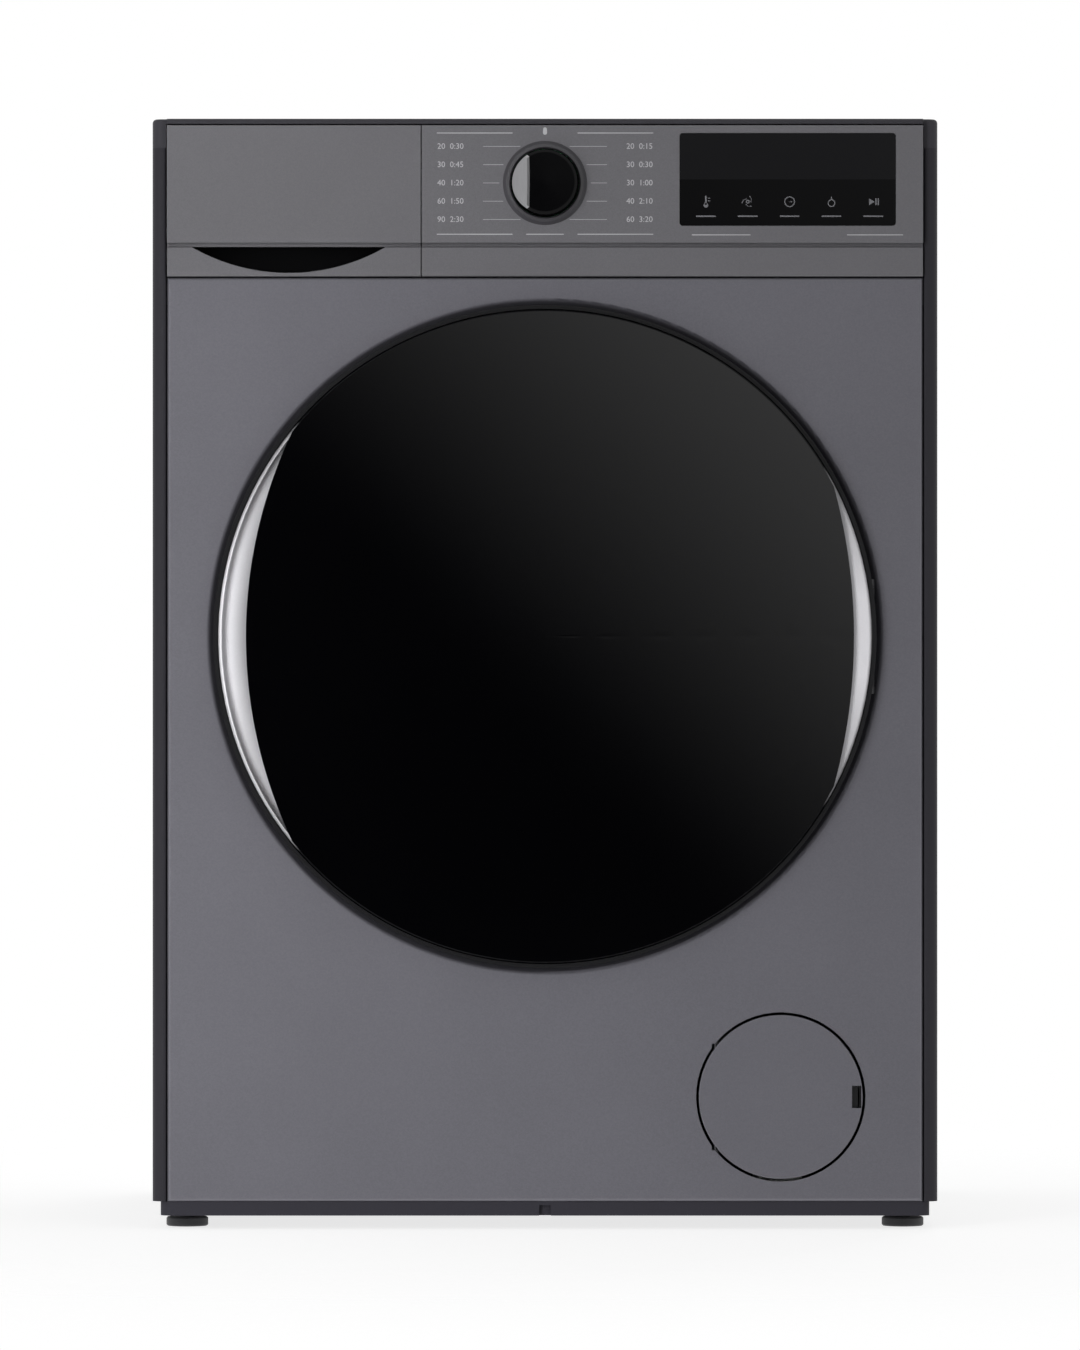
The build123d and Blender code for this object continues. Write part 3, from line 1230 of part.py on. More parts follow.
def tub_rear():
    """Rear half of the tub: joint flange, drum wall, ribbed back, bearing hub and lugs."""
    points = [(TUB_RADIUS, TUB_JOINT + FIT), (TUB_RADIUS, TUB_BACK), (HUB_RADIUS - TUB_WALL, TUB_BACK)]
    tub = spun(strip(points, [3 * TUB_WALL], TUB_WALL, Side.LEFT))
    inside = bar(TUB_RADIUS - SHEET, TUB_FRONT, TUB_BACK - SHEET)
    tub += bar(TUB_RADIUS + TUB_FLANGE, TUB_JOINT + FIT, TUB_JOINT + FIT + TUB_FLANGE_THICK) - inside
    hub_front = TUB_BACK - BEARING_WIDTH
    tub += bar(HUB_RADIUS, hub_front, HUB_BACK)
    rib_length = TUB_RADIUS - HUB_RADIUS - 3 * TUB_WALL
    rib_x = HUB_RADIUS - SHEET + rib_length / 2
    rib_y = Y_FRONT + TUB_BACK + TUB_RIB_DEPTH / 2 - SHEET
    rib = Pos(rib_x, rib_y, 0) * Box(rib_length, TUB_RIB_DEPTH + SHEET, TUB_WALL)
    tub += around(rib, TUB_RIBS)
    for sign in (-1, 1):
        top = SPRING_LOW - SPRING_WIRE
        lug_half = LUG_SIZE / 2
        x = sign * SPRING_X
        front = BEAM_SETBACK - lug_half
        lug = block(x - lug_half, x + lug_half, front, front + LUG_SIZE, top - LUG_THICK, top)
        lug += post(SPRING_PLUG, x, BEAM_SETBACK, top, top + SPRING_PLUG_LENGTH)
        web_x = sorted((x - sign * lug_half * 3, x + sign * lug_half))
        web_front = BEAM_SETBACK - LUG_THICK / 2
        web_low = Z_AXIS + lug_half
        lug += block(*web_x, web_front, web_front + LUG_THICK, web_low, top - LUG_THICK / 2)
        tub += lug - inside
        pin_x = sign * DAMPER_TOP_X
        pin_z = damper_top_z()
        eye_half = DAMPER_EYE_WIDTH / 2
        for d0 in (-eye_half - FIT - DAMPER_EAR, eye_half + FIT):
            ear_d = DAMPER_DEPTH + d0
            ear_x = (pin_x - DAMPER_EYE, pin_x + DAMPER_EYE)
            ear_z = (pin_z - DAMPER_EYE, Z_AXIS - TUB_RADIUS / 2)
            tub += block(*ear_x, ear_d, ear_d + DAMPER_EAR, *ear_z) - inside
        tub += bar(DAMPER_PIN, DAMPER_DEPTH - eye_half - FIT, DAMPER_DEPTH + eye_half + FIT, pin_x, pin_z)
    foot_top = Z_MOTOR + MOTOR_RADIUS + MOTOR_FOOT / 2
    ear_half = MOTOR_FOOT_WIDTH / 2
    ear_top = Z_AXIS - TUB_RADIUS + 2 * MOTOR_EAR
    for d0 in (MOTOR_FRONT + MOTOR_EAR, MOTOR_BACK - 2 * MOTOR_EAR):
        ear = block(MOTOR_X - ear_half, MOTOR_X + ear_half, d0, d0 + MOTOR_EAR, foot_top, ear_top)
        tub += ear - inside
    spigot_d = outlet_depth()
    surface = Z_AXIS + (TUB_RADIUS**2 - OUTLET_X**2) ** 0.5
    spigot_low = surface - OUTLET_SPIGOT
    spigot_top = surface + OUTLET_DROP + OUTLET_SPIGOT / 2
    tub += post(OUTLET_SPIGOT, OUTLET_X, spigot_d, spigot_low, spigot_top) - inside
    bore = OUTLET_SPIGOT - HOSE_WALL
    tub -= post(bore, OUTLET_X, spigot_d, spigot_low - OUTLET_SPIGOT, spigot_top + SHEET)
    tub -= bar(FRONT_BEARING, hub_front - SHEET, TUB_BACK)
    tub -= bar(REAR_BEARING, HUB_BACK - BEARING_WIDTH, HUB_BACK + SHEET)
    return tub - bar(FRONT_SHAFT + MOULDED_WALL, hub_front, HUB_BACK)


def outlet_depth():
    return tray_box()[3] - 2 * OUTLET_SPIGOT


def damper_top_z():
    """Height of the dampers' upper pins, below the tub's wall."""
    return Z_AXIS - (TUB_RADIUS**2 - DAMPER_TOP_X**2) ** 0.5 - DAMPER_TOP_DROP


def bearings():
    """The drum shaft's two bearings, front and rear, pressed into the tub's hub."""
    front = bar(FRONT_BEARING, TUB_BACK - BEARING_WIDTH, TUB_BACK)
    front -= bar(FRONT_SHAFT + RUNNING, TUB_FRONT, CABINET_DEPTH)
    rear = bar(REAR_BEARING, HUB_BACK - BEARING_WIDTH, HUB_BACK)
    rear -= bar(REAR_SHAFT + RUNNING, TUB_FRONT, CABINET_DEPTH)
    return Compound([front, rear])


def drum_shell():
    """Pressed drum with a hemmed mouth, round shoulders and a dished back."""
    points = [
        (DRUM_MOUTH, DRUM_FRONT + DRUM_HEM),
        (DRUM_MOUTH, DRUM_FRONT),
        (DRUM_RADIUS, DRUM_FRONT),
        (DRUM_RADIUS, DRUM_BACK),
        (DRUM_DISH_RADIUS + DRUM_DISH_DEPTH, DRUM_BACK),
        (DRUM_DISH_RADIUS, DRUM_BACK - DRUM_DISH_DEPTH),
        (0, DRUM_BACK - DRUM_DISH_DEPTH),
    ]
    bends = [2 * SHEET_BEND, DRUM_SHOULDER, DRUM_BACK_BEND, 2 * SHEET_BEND, 2 * SHEET_BEND]
    return spun(strip(points, bends, DRUM_SHEET, Side.LEFT))


def drum_lifters():
    """Three hollow-ended paddles along the drum's wall."""
    length = DRUM_DEPTH - DRUM_SHOULDER - DRUM_BACK_BEND - 2 * LIFTER_END_ROOM
    middle = Y_FRONT + DRUM_FRONT + DRUM_SHOULDER + LIFTER_END_ROOM + length / 2
    base = Plane(origin=(0, middle, DRUM_RADIUS), x_dir=(1, 0, 0), z_dir=(0, 0, -1))
    crest = base.offset(LIFTER_HEIGHT)
    crest_length = length - LIFTER_HEIGHT
    form = loft([base * Rectangle(LIFTER_WIDTH, length), crest * Rectangle(LIFTER_CREST, crest_length)])
    form = fillet(form.faces().sort_by(Axis.Z)[0].edges(), LIFTER_CREST / 4)
    seat = DRUM_RADIUS - DRUM_SHEET - FIT / 3
    inside = Pos(0, Y_FRONT + DRUM_FRONT + DRUM_DEPTH / 2, 0) * Rot(90, 0, 0) * Cylinder(seat, DRUM_DEPTH)
    return Compound(around(form & inside, LIFTER_COUNT))


def drum_spider():
    """Cast three-arm spider behind the drum, with the stepped drum shaft."""
    hub_front = DRUM_BACK - DRUM_DISH_DEPTH
    hub_back = DRUM_BACK + SPIDER_ARM
    spider = bar(SPIDER_HUB, hub_front, hub_back)
    reach = DRUM_RADIUS - DRUM_BACK_BEND
    arm = polygon(
        (0, -SPIDER_ARM_WIDTH / 2),
        (reach, -SPIDER_ARM_WIDTH / 4),
        (reach, SPIDER_ARM_WIDTH / 4),
        (0, SPIDER_ARM_WIDTH / 2),
    )
    plane = Plane(origin=(0, Y_FRONT + hub_back, 0), x_dir=(1, 0, 0), z_dir=(0, -1, 0))
    half_turn = Rot(0, 90 / LIFTER_COUNT, 0)
    spider += around(half_turn * extrude(plane * arm, amount=SPIDER_ARM), LIFTER_COUNT)
    spider += bar(FRONT_SHAFT, hub_front + SHEET, TUB_BACK + SHEET)
    return spider + bar(REAR_SHAFT, TUB_BACK, PULLEY_BACK + SHAFT_STUB)


def drum_pulley():
    """Spoked drum pulley with rim flanges that keep the belt on."""
    hub = bar(PULLEY_HUB, PULLEY_FRONT, PULLEY_BACK)
    lip = (PULLEY_WIDTH - BELT_WIDTH) / 2 - FIT
    inner = PULLEY_RADIUS - PULLEY_RIM
    profile = polygon(
        (inner, PULLEY_FRONT),
        (PULLEY_RADIUS + BELT_THICK / 2, PULLEY_FRONT),
        (PULLEY_RADIUS, PULLEY_FRONT + lip),
        (PULLEY_RADIUS, PULLEY_BACK - lip),
        (PULLEY_RADIUS + BELT_THICK / 2, PULLEY_BACK),
        (inner, PULLEY_BACK),
    )
    wheel = hub + spun(profile)
    spoke_length = inner - PULLEY_HUB + PULLEY_RIM
    spoke_x = PULLEY_HUB - PULLEY_RIM / 2 + spoke_length / 2
    spoke_y = Y_FRONT + (PULLEY_FRONT + PULLEY_BACK) / 2
    spoke = Pos(spoke_x, spoke_y, 0) * Box(spoke_length, PULLEY_WIDTH / 2, SPOKE_WIDTH)
    wheel += around(spoke, PULLEY_SPOKES)
    return wheel - bar(REAR_SHAFT, PULLEY_FRONT - SHEET, PULLEY_BACK + SHEET)


def belt_loop(grow):
    """The belt's path in the front view, round both pulleys and grown outwards."""
    large = Pos(0, Z_AXIS) * Circle(PULLEY_RADIUS + BELT_GAP + grow)
    small = Pos(MOTOR_X, Z_MOTOR) * Circle(MOTOR_PULLEY + BELT_GAP + grow)
    return make_hull(large.edges() + small.edges())


def drive_belt():
    """Flat ribbed belt round the drum pulley and the motor pulley."""
    side = (PULLEY_WIDTH - BELT_WIDTH) / 2
    return pressed(belt_loop(BELT_THICK) - belt_loop(0), PULLEY_FRONT + side, PULLEY_BACK - side)


def motor_stator():
    """Motor housing with end bells, bore and the foot that bolts to the tub."""
    body = bar(MOTOR_RADIUS, MOTOR_FRONT, MOTOR_BACK, MOTOR_X, Z_MOTOR)
    body = fillet(body.edges(), MOTOR_END / 2)
    top = Z_MOTOR + MOTOR_RADIUS + MOTOR_FOOT / 2
    half = MOTOR_FOOT_WIDTH / 2
    foot_front = MOTOR_FRONT + MOTOR_EAR
    foot_back = MOTOR_BACK - MOTOR_EAR
    body += block(MOTOR_X - half, MOTOR_X + half, foot_front, foot_back, top - MOTOR_FOOT, top)
    body -= bar(MOTOR_BORE, MOTOR_FRONT + MOTOR_END, MOTOR_BACK - MOTOR_END, MOTOR_X, Z_MOTOR)
    return body - bar(MOTOR_SHAFT + RUNNING, MOTOR_FRONT - SHEET, MOTOR_BACK + SHEET, MOTOR_X, Z_MOTOR)


def motor_rotor():
    """Rotor core, shaft and the small belt pulley."""
    end = MOTOR_END + MOTOR_GAP
    rotor = bar(MOTOR_BORE - MOTOR_GAP, MOTOR_FRONT + end, MOTOR_BACK - end, MOTOR_X, Z_MOTOR)
    rotor += bar(MOTOR_SHAFT, MOTOR_FRONT, PULLEY_BACK + SHEET, MOTOR_X, Z_MOTOR)
    return rotor + bar(MOTOR_PULLEY, PULLEY_FRONT, PULLEY_BACK, MOTOR_X, Z_MOTOR)


def weight_block(arc, turn):
    """A concrete block on the tub's front: a ring sector with rounded corners."""
    outer = TUB_RADIUS - WEIGHT_INSET
    ring = Circle(outer) - Circle(outer - WEIGHT_WIDTH)
    far = 2 * outer
    half = radians(arc / 2)
    edge_x = far * sin(half)
    edge_y = far * cos(half)
    wedge = polygon((0, 0), (-edge_x, edge_y), (-far, far), (far, far), (edge_x, edge_y))
    sector = Rot(0, 0, turn) * (ring & wedge)
    sector = fillet(sector.vertices(), WEIGHT_WIDTH / 4)
    return pressed(Pos(0, Z_AXIS) * sector, TUB_FRONT - WEIGHT_THICK, TUB_FRONT)


def counterweights():
    """Upper and lower counterweights on the tub's front wall."""
    half = HEATER_PLUG_WIDTH / 2 + HEATER_ROOM
    top = Z_AXIS - DRUM_RADIUS + HEATER_ROOM
    notch = block(-half, half, 0, TUB_FRONT, Z_PANEL, top)
    return Compound([weight_block(UPPER_WEIGHT_ARC, 0), weight_block(LOWER_WEIGHT_ARC, 180) - notch])


def heater():
    """Tubular heater low in the tub, with its plug in the front wall and two terminals."""
    z = Z_AXIS - DRUM_RADIUS - DRUM_ROOM / 2
    half = HEATER_PLUG_WIDTH / 2
    inner = TUB_FRONT + TUB_WALL
    unit = block(-half, half, TUB_FRONT, inner, z - HEATER_PLUG / 2, z + HEATER_PLUG / 2)
    end = inner + HEATER_LENGTH
    tip = TUB_FRONT - HEATER_TERMINAL
    for x in (-HEATER_SPREAD, HEATER_SPREAD):
        unit += bar(HEATER_TUBE, TUB_FRONT, end, x, z)
        unit += block(x - HEATER_TUBE, x + HEATER_TUBE, tip, TUB_FRONT, z - SHEET, z + SHEET)
    bend = Torus(HEATER_SPREAD, HEATER_TUBE)
    bend = bend & (Pos(0, HEATER_SPREAD, 0) * Box(4 * HEATER_SPREAD, 2 * HEATER_SPREAD, 4 * HEATER_TUBE))
    return unit + Pos(0, Y_FRONT + end, z) * bend


def spring(x):
    """One hanging spring: half turns of wire, each tipped a quarter pitch."""
    pitch = SPRING_LENGTH / SPRING_TURNS
    edges = []
    for i in range(2 * SPRING_TURNS):
        side = 1 if i % 2 == 0 else -1
        z = SPRING_LOW + i * pitch / 2
        edges.append(
            ThreePointArc(
                (side * SPRING_RADIUS, 0, z),
                (0, side * SPRING_RADIUS, z + pitch / 4),
                (-side * SPRING_RADIUS, 0, z + pitch / 2),
            )
        )
    path = Wire(edges)
    start = Plane(origin=path @ 0, z_dir=path % 0)
    print("spring: wire to wire gap", round(pitch - 2 * SPRING_WIRE, 2), "mm")
    return Pos(x, Y_FRONT + BEAM_SETBACK, 0) * sweep(start * Circle(SPRING_WIRE), path=path)


def hanging_springs():
    """The pair of springs that the tub hangs on."""
    return Compound([spring(-SPRING_X), spring(SPRING_X)])


def damper_frame(sign):
    """Place, direction and length of a damper, from its lower to its upper pin."""
    low = Vector(sign * DAMPER_LOW_X, Y_FRONT + DAMPER_DEPTH, DAMPER_LOW_Z)
    top = Vector(sign * DAMPER_TOP_X, Y_FRONT + DAMPER_DEPTH, damper_top_z())
    return Plane(origin=low, x_dir=(0, 1, 0), z_dir=top - low), (top - low).length


def damper_eye(height, neck_end):
    """Pin eye across a damper's end, with the neck that joins it to the tube."""
    eye = Pos(0, 0, height) * Rot(0, 90, 0) * Cylinder(DAMPER_EYE, DAMPER_EYE_WIDTH)
    middle = Pos(0, 0, (height + neck_end) / 2)
    return eye + middle * Box(DAMPER_EYE_WIDTH, DAMPER_EYE, abs(neck_end - height))


def pin_hole(height):
    return Pos(0, 0, height) * Rot(0, 90, 0) * Cylinder(DAMPER_PIN, 2 * DAMPER_EYE_WIDTH)


def damper_cylinders():
    """Friction dampers' outer tubes, on the base tray's pins."""
    tubes = []
    for sign in (-1, 1):
        plane, length = damper_frame(sign)
        start = DAMPER_EYE + DAMPER_NECK
        tube = Pos(0, 0, (start + DAMPER_TUBE_LENGTH) / 2) * Cylinder(DAMPER_TUBE, DAMPER_TUBE_LENGTH - start)
        floor = start + DAMPER_NECK
        bore_end = 2 * DAMPER_TUBE_LENGTH
        bore = Pos(0, 0, (floor + bore_end) / 2) * Cylinder(DAMPER_BORE, bore_end - floor)
        tubes.append(plane * (tube + damper_eye(0, start) - bore - pin_hole(0)))
    return Compound(tubes)


def damper_rods():
    """Friction dampers' plungers, on the tub's pins."""
    rods = []
    for sign in (-1, 1):
        plane, length = damper_frame(sign)
        low = DAMPER_TUBE_LENGTH - DAMPER_OVERLAP
        high = length - DAMPER_EYE - DAMPER_NECK
        rod = Pos(0, 0, (low + high) / 2) * Cylinder(DAMPER_ROD, high - low)
        rods.append(plane * (rod + damper_eye(length, high) - pin_hole(length)))
    return Compound(rods)


def flap_chord():
    """Half the flap's height along its hinge line."""
    return (FLAP_RADIUS**2 - FLAP_PIVOT**2) ** 0.5


def flap_pin_reach():
    """Distance from the flap's middle to the end of each hinge pin."""
    return flap_chord() + FLAP_GAP + SHEET + FLAP_LUG


def flap_lug_spans():
    """Lower and upper faces of the two lugs that hold the flap's pins."""
    far = flap_pin_reach()
    near = far - FLAP_LUG
    return [(FLAP_Z - far, FLAP_Z - near), (FLAP_Z + near, FLAP_Z + far)]


def collar_radius():
    return FLAP_HOLE + COLLAR_ROOM + 3 * COLLAR_WALL


def filter_collar():
    """Collar behind the flap's hole: flange on the panel, tube and the flap's hinge lugs."""
    tube_in = FLAP_HOLE + COLLAR_ROOM
    tube_out = tube_in + COLLAR_WALL
    collar = bar(collar_radius(), SHEET, SHEET + COLLAR_WALL, FLAP_X, FLAP_Z)
    collar += bar(tube_out, SHEET, COLLAR_DEPTH, FLAP_X, FLAP_Z)
    collar -= bar(tube_in, 0, COLLAR_DEPTH + SHEET, FLAP_X, FLAP_Z)
    pivot_x = FLAP_X - FLAP_PIVOT
    half = FLAP_LUG_WIDTH / 2
    for low, high in flap_lug_spans():
        lug = block(pivot_x - 4 * COLLAR_WALL, pivot_x + half, SHEET, 2 * COLLAR_WALL, low, high)
        lug = lug & bar(tube_out, 0, COLLAR_DEPTH, FLAP_X, FLAP_Z)
        lug += block(pivot_x - half, pivot_x + half, FIT, 2 * SHEET, low, high)
        collar += lug
    reach = flap_pin_reach() + FIT
    return collar - post(FLAP_PIN + RUNNING, pivot_x, FLAP_PIVOT_DEPTH, FLAP_Z - reach, FLAP_Z + reach)


def filter_flap():
    """Round service flap with a skirt, a coin slot and two hinge pins at its left edge."""
    flap = bar(FLAP_RADIUS, 0, FLAP_SKIRT, FLAP_X, FLAP_Z)
    flap = fillet(flap.faces().sort_by(Axis.Y)[0].edges(), SHEET)
    flap -= bar(FLAP_RADIUS - FLAP_THICK, FLAP_THICK, 2 * FLAP_SKIRT, FLAP_X, FLAP_Z)
    pivot_x = FLAP_X - FLAP_PIVOT
    reach = flap_pin_reach()
    clear = pivot_x + 4 * FLAP_GAP
    low = FLAP_Z - FLAP_RADIUS
    high = FLAP_Z + FLAP_RADIUS
    flap -= block(FLAP_X - FLAP_RADIUS, clear, FLAP_THICK, 2 * FLAP_SKIRT, low, high)
    flap += post(FLAP_PIN, pivot_x, FLAP_PIVOT_DEPTH, FLAP_Z - reach, FLAP_Z + reach)
    right = FLAP_X + FLAP_RADIUS - FLAP_THICK / 2
    left = right - COIN_WIDTH
    z0 = FLAP_Z - COIN_HEIGHT / 2
    z1 = FLAP_Z + COIN_HEIGHT / 2
    wall = FLAP_THICK
    flap += block(left - wall, right - wall, FLAP_THICK / 2, COIN_DEPTH + wall, z0 - wall, z1 + wall)
    return flap - block(left, right, -SHEET, COIN_DEPTH, z0, z1)


def pump_filter():
    """Lint filter: cap with a grip bar, sealing neck and a slotted basket."""
    cap = bar(FILTER_CAP, FILTER_FRONT, FILTER_SEAT, FLAP_X, FLAP_Z)
    cap = fillet(cap.faces().sort_by(Axis.Y)[0].edges(), 2 * SHEET)
    side = FILTER_CAP / 2 - FILTER_GRIP / 2
    floor = FILTER_SEAT - MOULDED_WALL
    low = FLAP_Z - FILTER_CAP
    high = FLAP_Z + FILTER_CAP
    for sign in (-1, 1):
        dish_x = FLAP_X + sign * FILTER_CAP / 2
        scoop = block(dish_x - side, dish_x + side, FILTER_FRONT - SHEET, floor, low, high)
        cap -= scoop & bar(FILTER_CAP - MOULDED_WALL, FILTER_FRONT - 2 * SHEET, FILTER_SEAT, FLAP_X, FLAP_Z)
    neck_back = FILTER_SEAT + FILTER_LENGTH / 4
    body = FILTER_BODY - RUNNING
    cap += bar(body, FILTER_SEAT, neck_back, FLAP_X, FLAP_Z)
    basket_back = PUMP_WEB - MOULDED_WALL
    basket = bar(body - MOULDED_WALL, neck_back, basket_back, FLAP_X, FLAP_Z)
    hollow = body - 2 * MOULDED_WALL
    basket -= bar(hollow, neck_back + MOULDED_WALL, basket_back - MOULDED_WALL, FLAP_X, FLAP_Z)
    slot_d = Y_FRONT + (neck_back + basket_back) / 2
    slot_length = basket_back - neck_back - 4 * MOULDED_WALL
    slot = Pos(body, slot_d, 0) * Box(body, slot_length, 2 * MOULDED_WALL)
    for cut in around(slot, FILTER_SLOTS, FLAP_Z, FLAP_X):
        basket -= cut
    return cap + basket


def drain_pump():
    """Drain pump: filter chamber, impeller chamber, motor can, inlet spigot and feet."""
    chamber_back = PUMP_WEB + MOULDED_WALL + PUMP_CHAMBER_DEPTH
    can_front = chamber_back + MOULDED_WALL
    pump = bar(PUMP_RADIUS, FILTER_SEAT, can_front, FLAP_X, FLAP_Z)
    pump += bar(PUMP_MOTOR, can_front, can_front + PUMP_MOTOR_LENGTH, FLAP_X, FLAP_Z)
    inlet_d = sump_depth()
    spigot_top = FLAP_Z + PUMP_RADIUS + PUMP_INLET_RISE
    pump += post(PUMP_INLET, sump_x(), inlet_d, FLAP_Z, spigot_top)
    half = PUMP_RADIUS / 2
    for d0 in (FILTER_SEAT + PUMP_WALL, can_front + PUMP_MOTOR_LENGTH / 2):
        pump += block(FLAP_X - half, FLAP_X + half, d0, d0 + 2 * PUMP_WALL, Z_FLOOR + TRAY_RIB, FLAP_Z)
    pump -= bar(FILTER_BODY, FILTER_SEAT - SHEET, PUMP_WEB, FLAP_X, FLAP_Z)
    pump -= bar(PUMP_CHAMBER / 2, PUMP_WEB - SHEET, PUMP_WEB + 2 * MOULDED_WALL, FLAP_X, FLAP_Z)
    pump -= bar(PUMP_CHAMBER, PUMP_WEB + MOULDED_WALL, chamber_back, FLAP_X, FLAP_Z)
    shaft_back = can_front + PUMP_MOTOR_LENGTH / 2
    pump -= bar(IMPELLER_SHAFT + RUNNING, PUMP_WEB, shaft_back + SHEET, FLAP_X, FLAP_Z)
    return pump - post(PUMP_INLET - HOSE_WALL, sump_x(), inlet_d, FLAP_Z, spigot_top + SHEET)


def pump_impeller():
    """Impeller with straight blades and its shaft in the pump's motor."""
    front = PUMP_WEB + MOULDED_WALL + (PUMP_CHAMBER_DEPTH - IMPELLER_DEPTH) / 2
    back = front + IMPELLER_DEPTH
    can_front = PUMP_WEB + 2 * MOULDED_WALL + PUMP_CHAMBER_DEPTH
    wheel = bar(IMPELLER_HUB, front, back, FLAP_X, FLAP_Z)
    wheel += bar(IMPELLER_RADIUS, back - MOULDED_WALL, back, FLAP_X, FLAP_Z)
    blade_place = Pos(IMPELLER_RADIUS / 2, Y_FRONT + (front + back) / 2, 0)
    blade = blade_place * Box(IMPELLER_RADIUS - SHEET, IMPELLER_DEPTH, MOULDED_WALL)
    wheel += around(blade, IMPELLER_BLADES, FLAP_Z, FLAP_X)
    return wheel + bar(IMPELLER_SHAFT, front, can_front + PUMP_MOTOR_LENGTH / 2, FLAP_X, FLAP_Z)


def bellows(radius, x, d, z0, z1):
    """Straight ribbed hose pushed over a spigot at each end."""
    inner = radius + FIT
    ribs = int((z1 - z0 - 2 * HOSE_LAP) // HOSE_PITCH)
    outside = [(inner + HOSE_WALL, z1), (inner, z1), (inner, z0), (inner + HOSE_WALL, z0)]
    start = z0 + (z1 - z0 - ribs * HOSE_PITCH) / 2
    for i in range(ribs):
        foot_z = start + i * HOSE_PITCH
        outside.append((inner + HOSE_WALL, foot_z + HOSE_PITCH / 4))
        outside.append((inner + HOSE_WALL + HOSE_RIB, foot_z + HOSE_PITCH / 2))
        outside.append((inner + HOSE_WALL, foot_z + HOSE_PITCH * 3 / 4))
    return Pos(x, Y_FRONT + d, 0) * revolve(Plane.XZ * polygon(*outside), Axis.Z)


def sump_hose():
    """Hose from the tub's sump spigot down to the pump's inlet."""
    x = sump_x()
    pump_top = FLAP_Z + PUMP_RADIUS + PUMP_INLET_RISE
    tub_low = Z_AXIS - (TUB_RADIUS**2 - x**2) ** 0.5 - SUMP_SPIGOT_DROP
    return bellows(max(PUMP_INLET, SUMP_SPIGOT), x, sump_depth(), pump_top - HOSE_LAP, tub_low + HOSE_LAP)


def dispenser_hose():
    """Hose from the dispenser's outlet down to the tub."""
    surface = Z_AXIS + (TUB_RADIUS**2 - OUTLET_X**2) ** 0.5
    tub_top = surface + OUTLET_DROP + OUTLET_SPIGOT / 2
    outlet_low = tray_box()[4] - HOUSING_ROOM - HOUSING_WALL - OUTLET_DROP
    return bellows(OUTLET_SPIGOT, OUTLET_X, outlet_depth(), tub_top - HOSE_LAP, outlet_low + HOSE_LAP)


def inlet_valve():
    """Water inlet valve: threaded spigot through the rear panel, body and two coils."""
    spigot = bar(VALVE_THREAD, REAR_FACE, CABINET_DEPTH + VALVE_REACH, VALVE_X, Z_VALVE)
    spigot += bar(VALVE_COLLAR, REAR_INNER, REAR_FACE, VALVE_X, Z_VALVE)
    front = REAR_INNER - VALVE_LENGTH
    valve = spigot + bar(VALVE_BODY, front, REAR_INNER, VALVE_X, Z_VALVE)
    half = VALVE_COIL / 2
    for sign in (-1, 1):
        x = VALVE_X + sign * (half + SHEET)
        coil = block(x - half, x + half, front - VALVE_COIL, front, Z_VALVE - half, Z_VALVE + half)
        valve += fillet(coil.edges().filter_by(Axis.Y), 2 * SHEET)
    bore = VALVE_THREAD - MOULDED_WALL
    return valve - bar(bore, REAR_INNER, CABINET_DEPTH + 2 * VALVE_REACH, VALVE_X, Z_VALVE)


def drain_outlet():
    """Drain connection: flange inside the rear panel, hose spigot outside and an inner elbow."""
    z = Z_AXIS + DRAIN_RISE + TRANSIT_SPREAD
    front = REAR_INNER - 3 * MOULDED_WALL
    outlet = bar(DRAIN_FLANGE, REAR_INNER - MOULDED_WALL, REAR_INNER, DRAIN_X, z)
    outlet += bar(DRAIN_COLLAR, REAR_INNER, REAR_FACE, DRAIN_X, z)
    outlet += bar(DRAIN_SPIGOT, front - DRAIN_FLANGE, CABINET_DEPTH + DRAIN_REACH, DRAIN_X, z)
    outlet += post(DRAIN_SPIGOT, DRAIN_X, front - DRAIN_FLANGE, z - 2 * DRAIN_FLANGE, z)
    outlet += Pos(DRAIN_X, Y_FRONT + front - DRAIN_FLANGE, z) * Sphere(DRAIN_SPIGOT)
    bore = DRAIN_SPIGOT - MOULDED_WALL
    outlet -= bar(bore, front - DRAIN_FLANGE, CABINET_DEPTH + 2 * DRAIN_REACH, DRAIN_X, z)
    return outlet - post(bore, DRAIN_X, front - DRAIN_FLANGE, z - 3 * DRAIN_FLANGE, z)


def cord_gland():
    """Bush for the mains lead in the rear panel."""
    profile = polygon(
        (GLAND_BORE, REAR_INNER - GLAND_REACH),
        (GLAND_NECK, REAR_INNER - GLAND_REACH),
        (GLAND_NECK, REAR_FACE),
        (GLAND_FLANGE, REAR_FACE),
        (GLAND_FLANGE, REAR_FACE + MOULDED_WALL),
        (GLAND_NECK, REAR_FACE + GLAND_REACH),
        (GLAND_BORE, REAR_FACE + GLAND_REACH),
    )
    return spun(profile, GLAND_X, Z_AXIS + GLAND_RISE + TRANSIT_SPREAD)


def control_module():
    """Power electronics in a finned box that stands on the base tray."""
    half = MODULE_WIDTH / 2
    module_x = tray_rib_x(TRAY_RIBS - 1) + MODULE_SHIFT
    back = CABINET_DEPTH - REAR_FLANGE - MODULE_SETBACK
    front = back - MODULE_LENGTH
    low = Z_FLOOR + TRAY_RIB
    box = block(module_x - half, module_x + half, front, back, low, low + MODULE_HEIGHT)
    box = fillet(box.edges().filter_by(Axis.Z), 2 * SHEET)
    fin_x = module_x - half
    fin_low = low + MODULE_HEIGHT / 3
    fin_high = low + MODULE_HEIGHT - SHEET
    for i in range(MODULE_FINS):
        d = front + (i + 0.5) * MODULE_LENGTH / MODULE_FINS
        box += block(fin_x - 4 * SHEET, fin_x + SHEET, d - SHEET, d + SHEET, fin_low, fin_high)
    return box


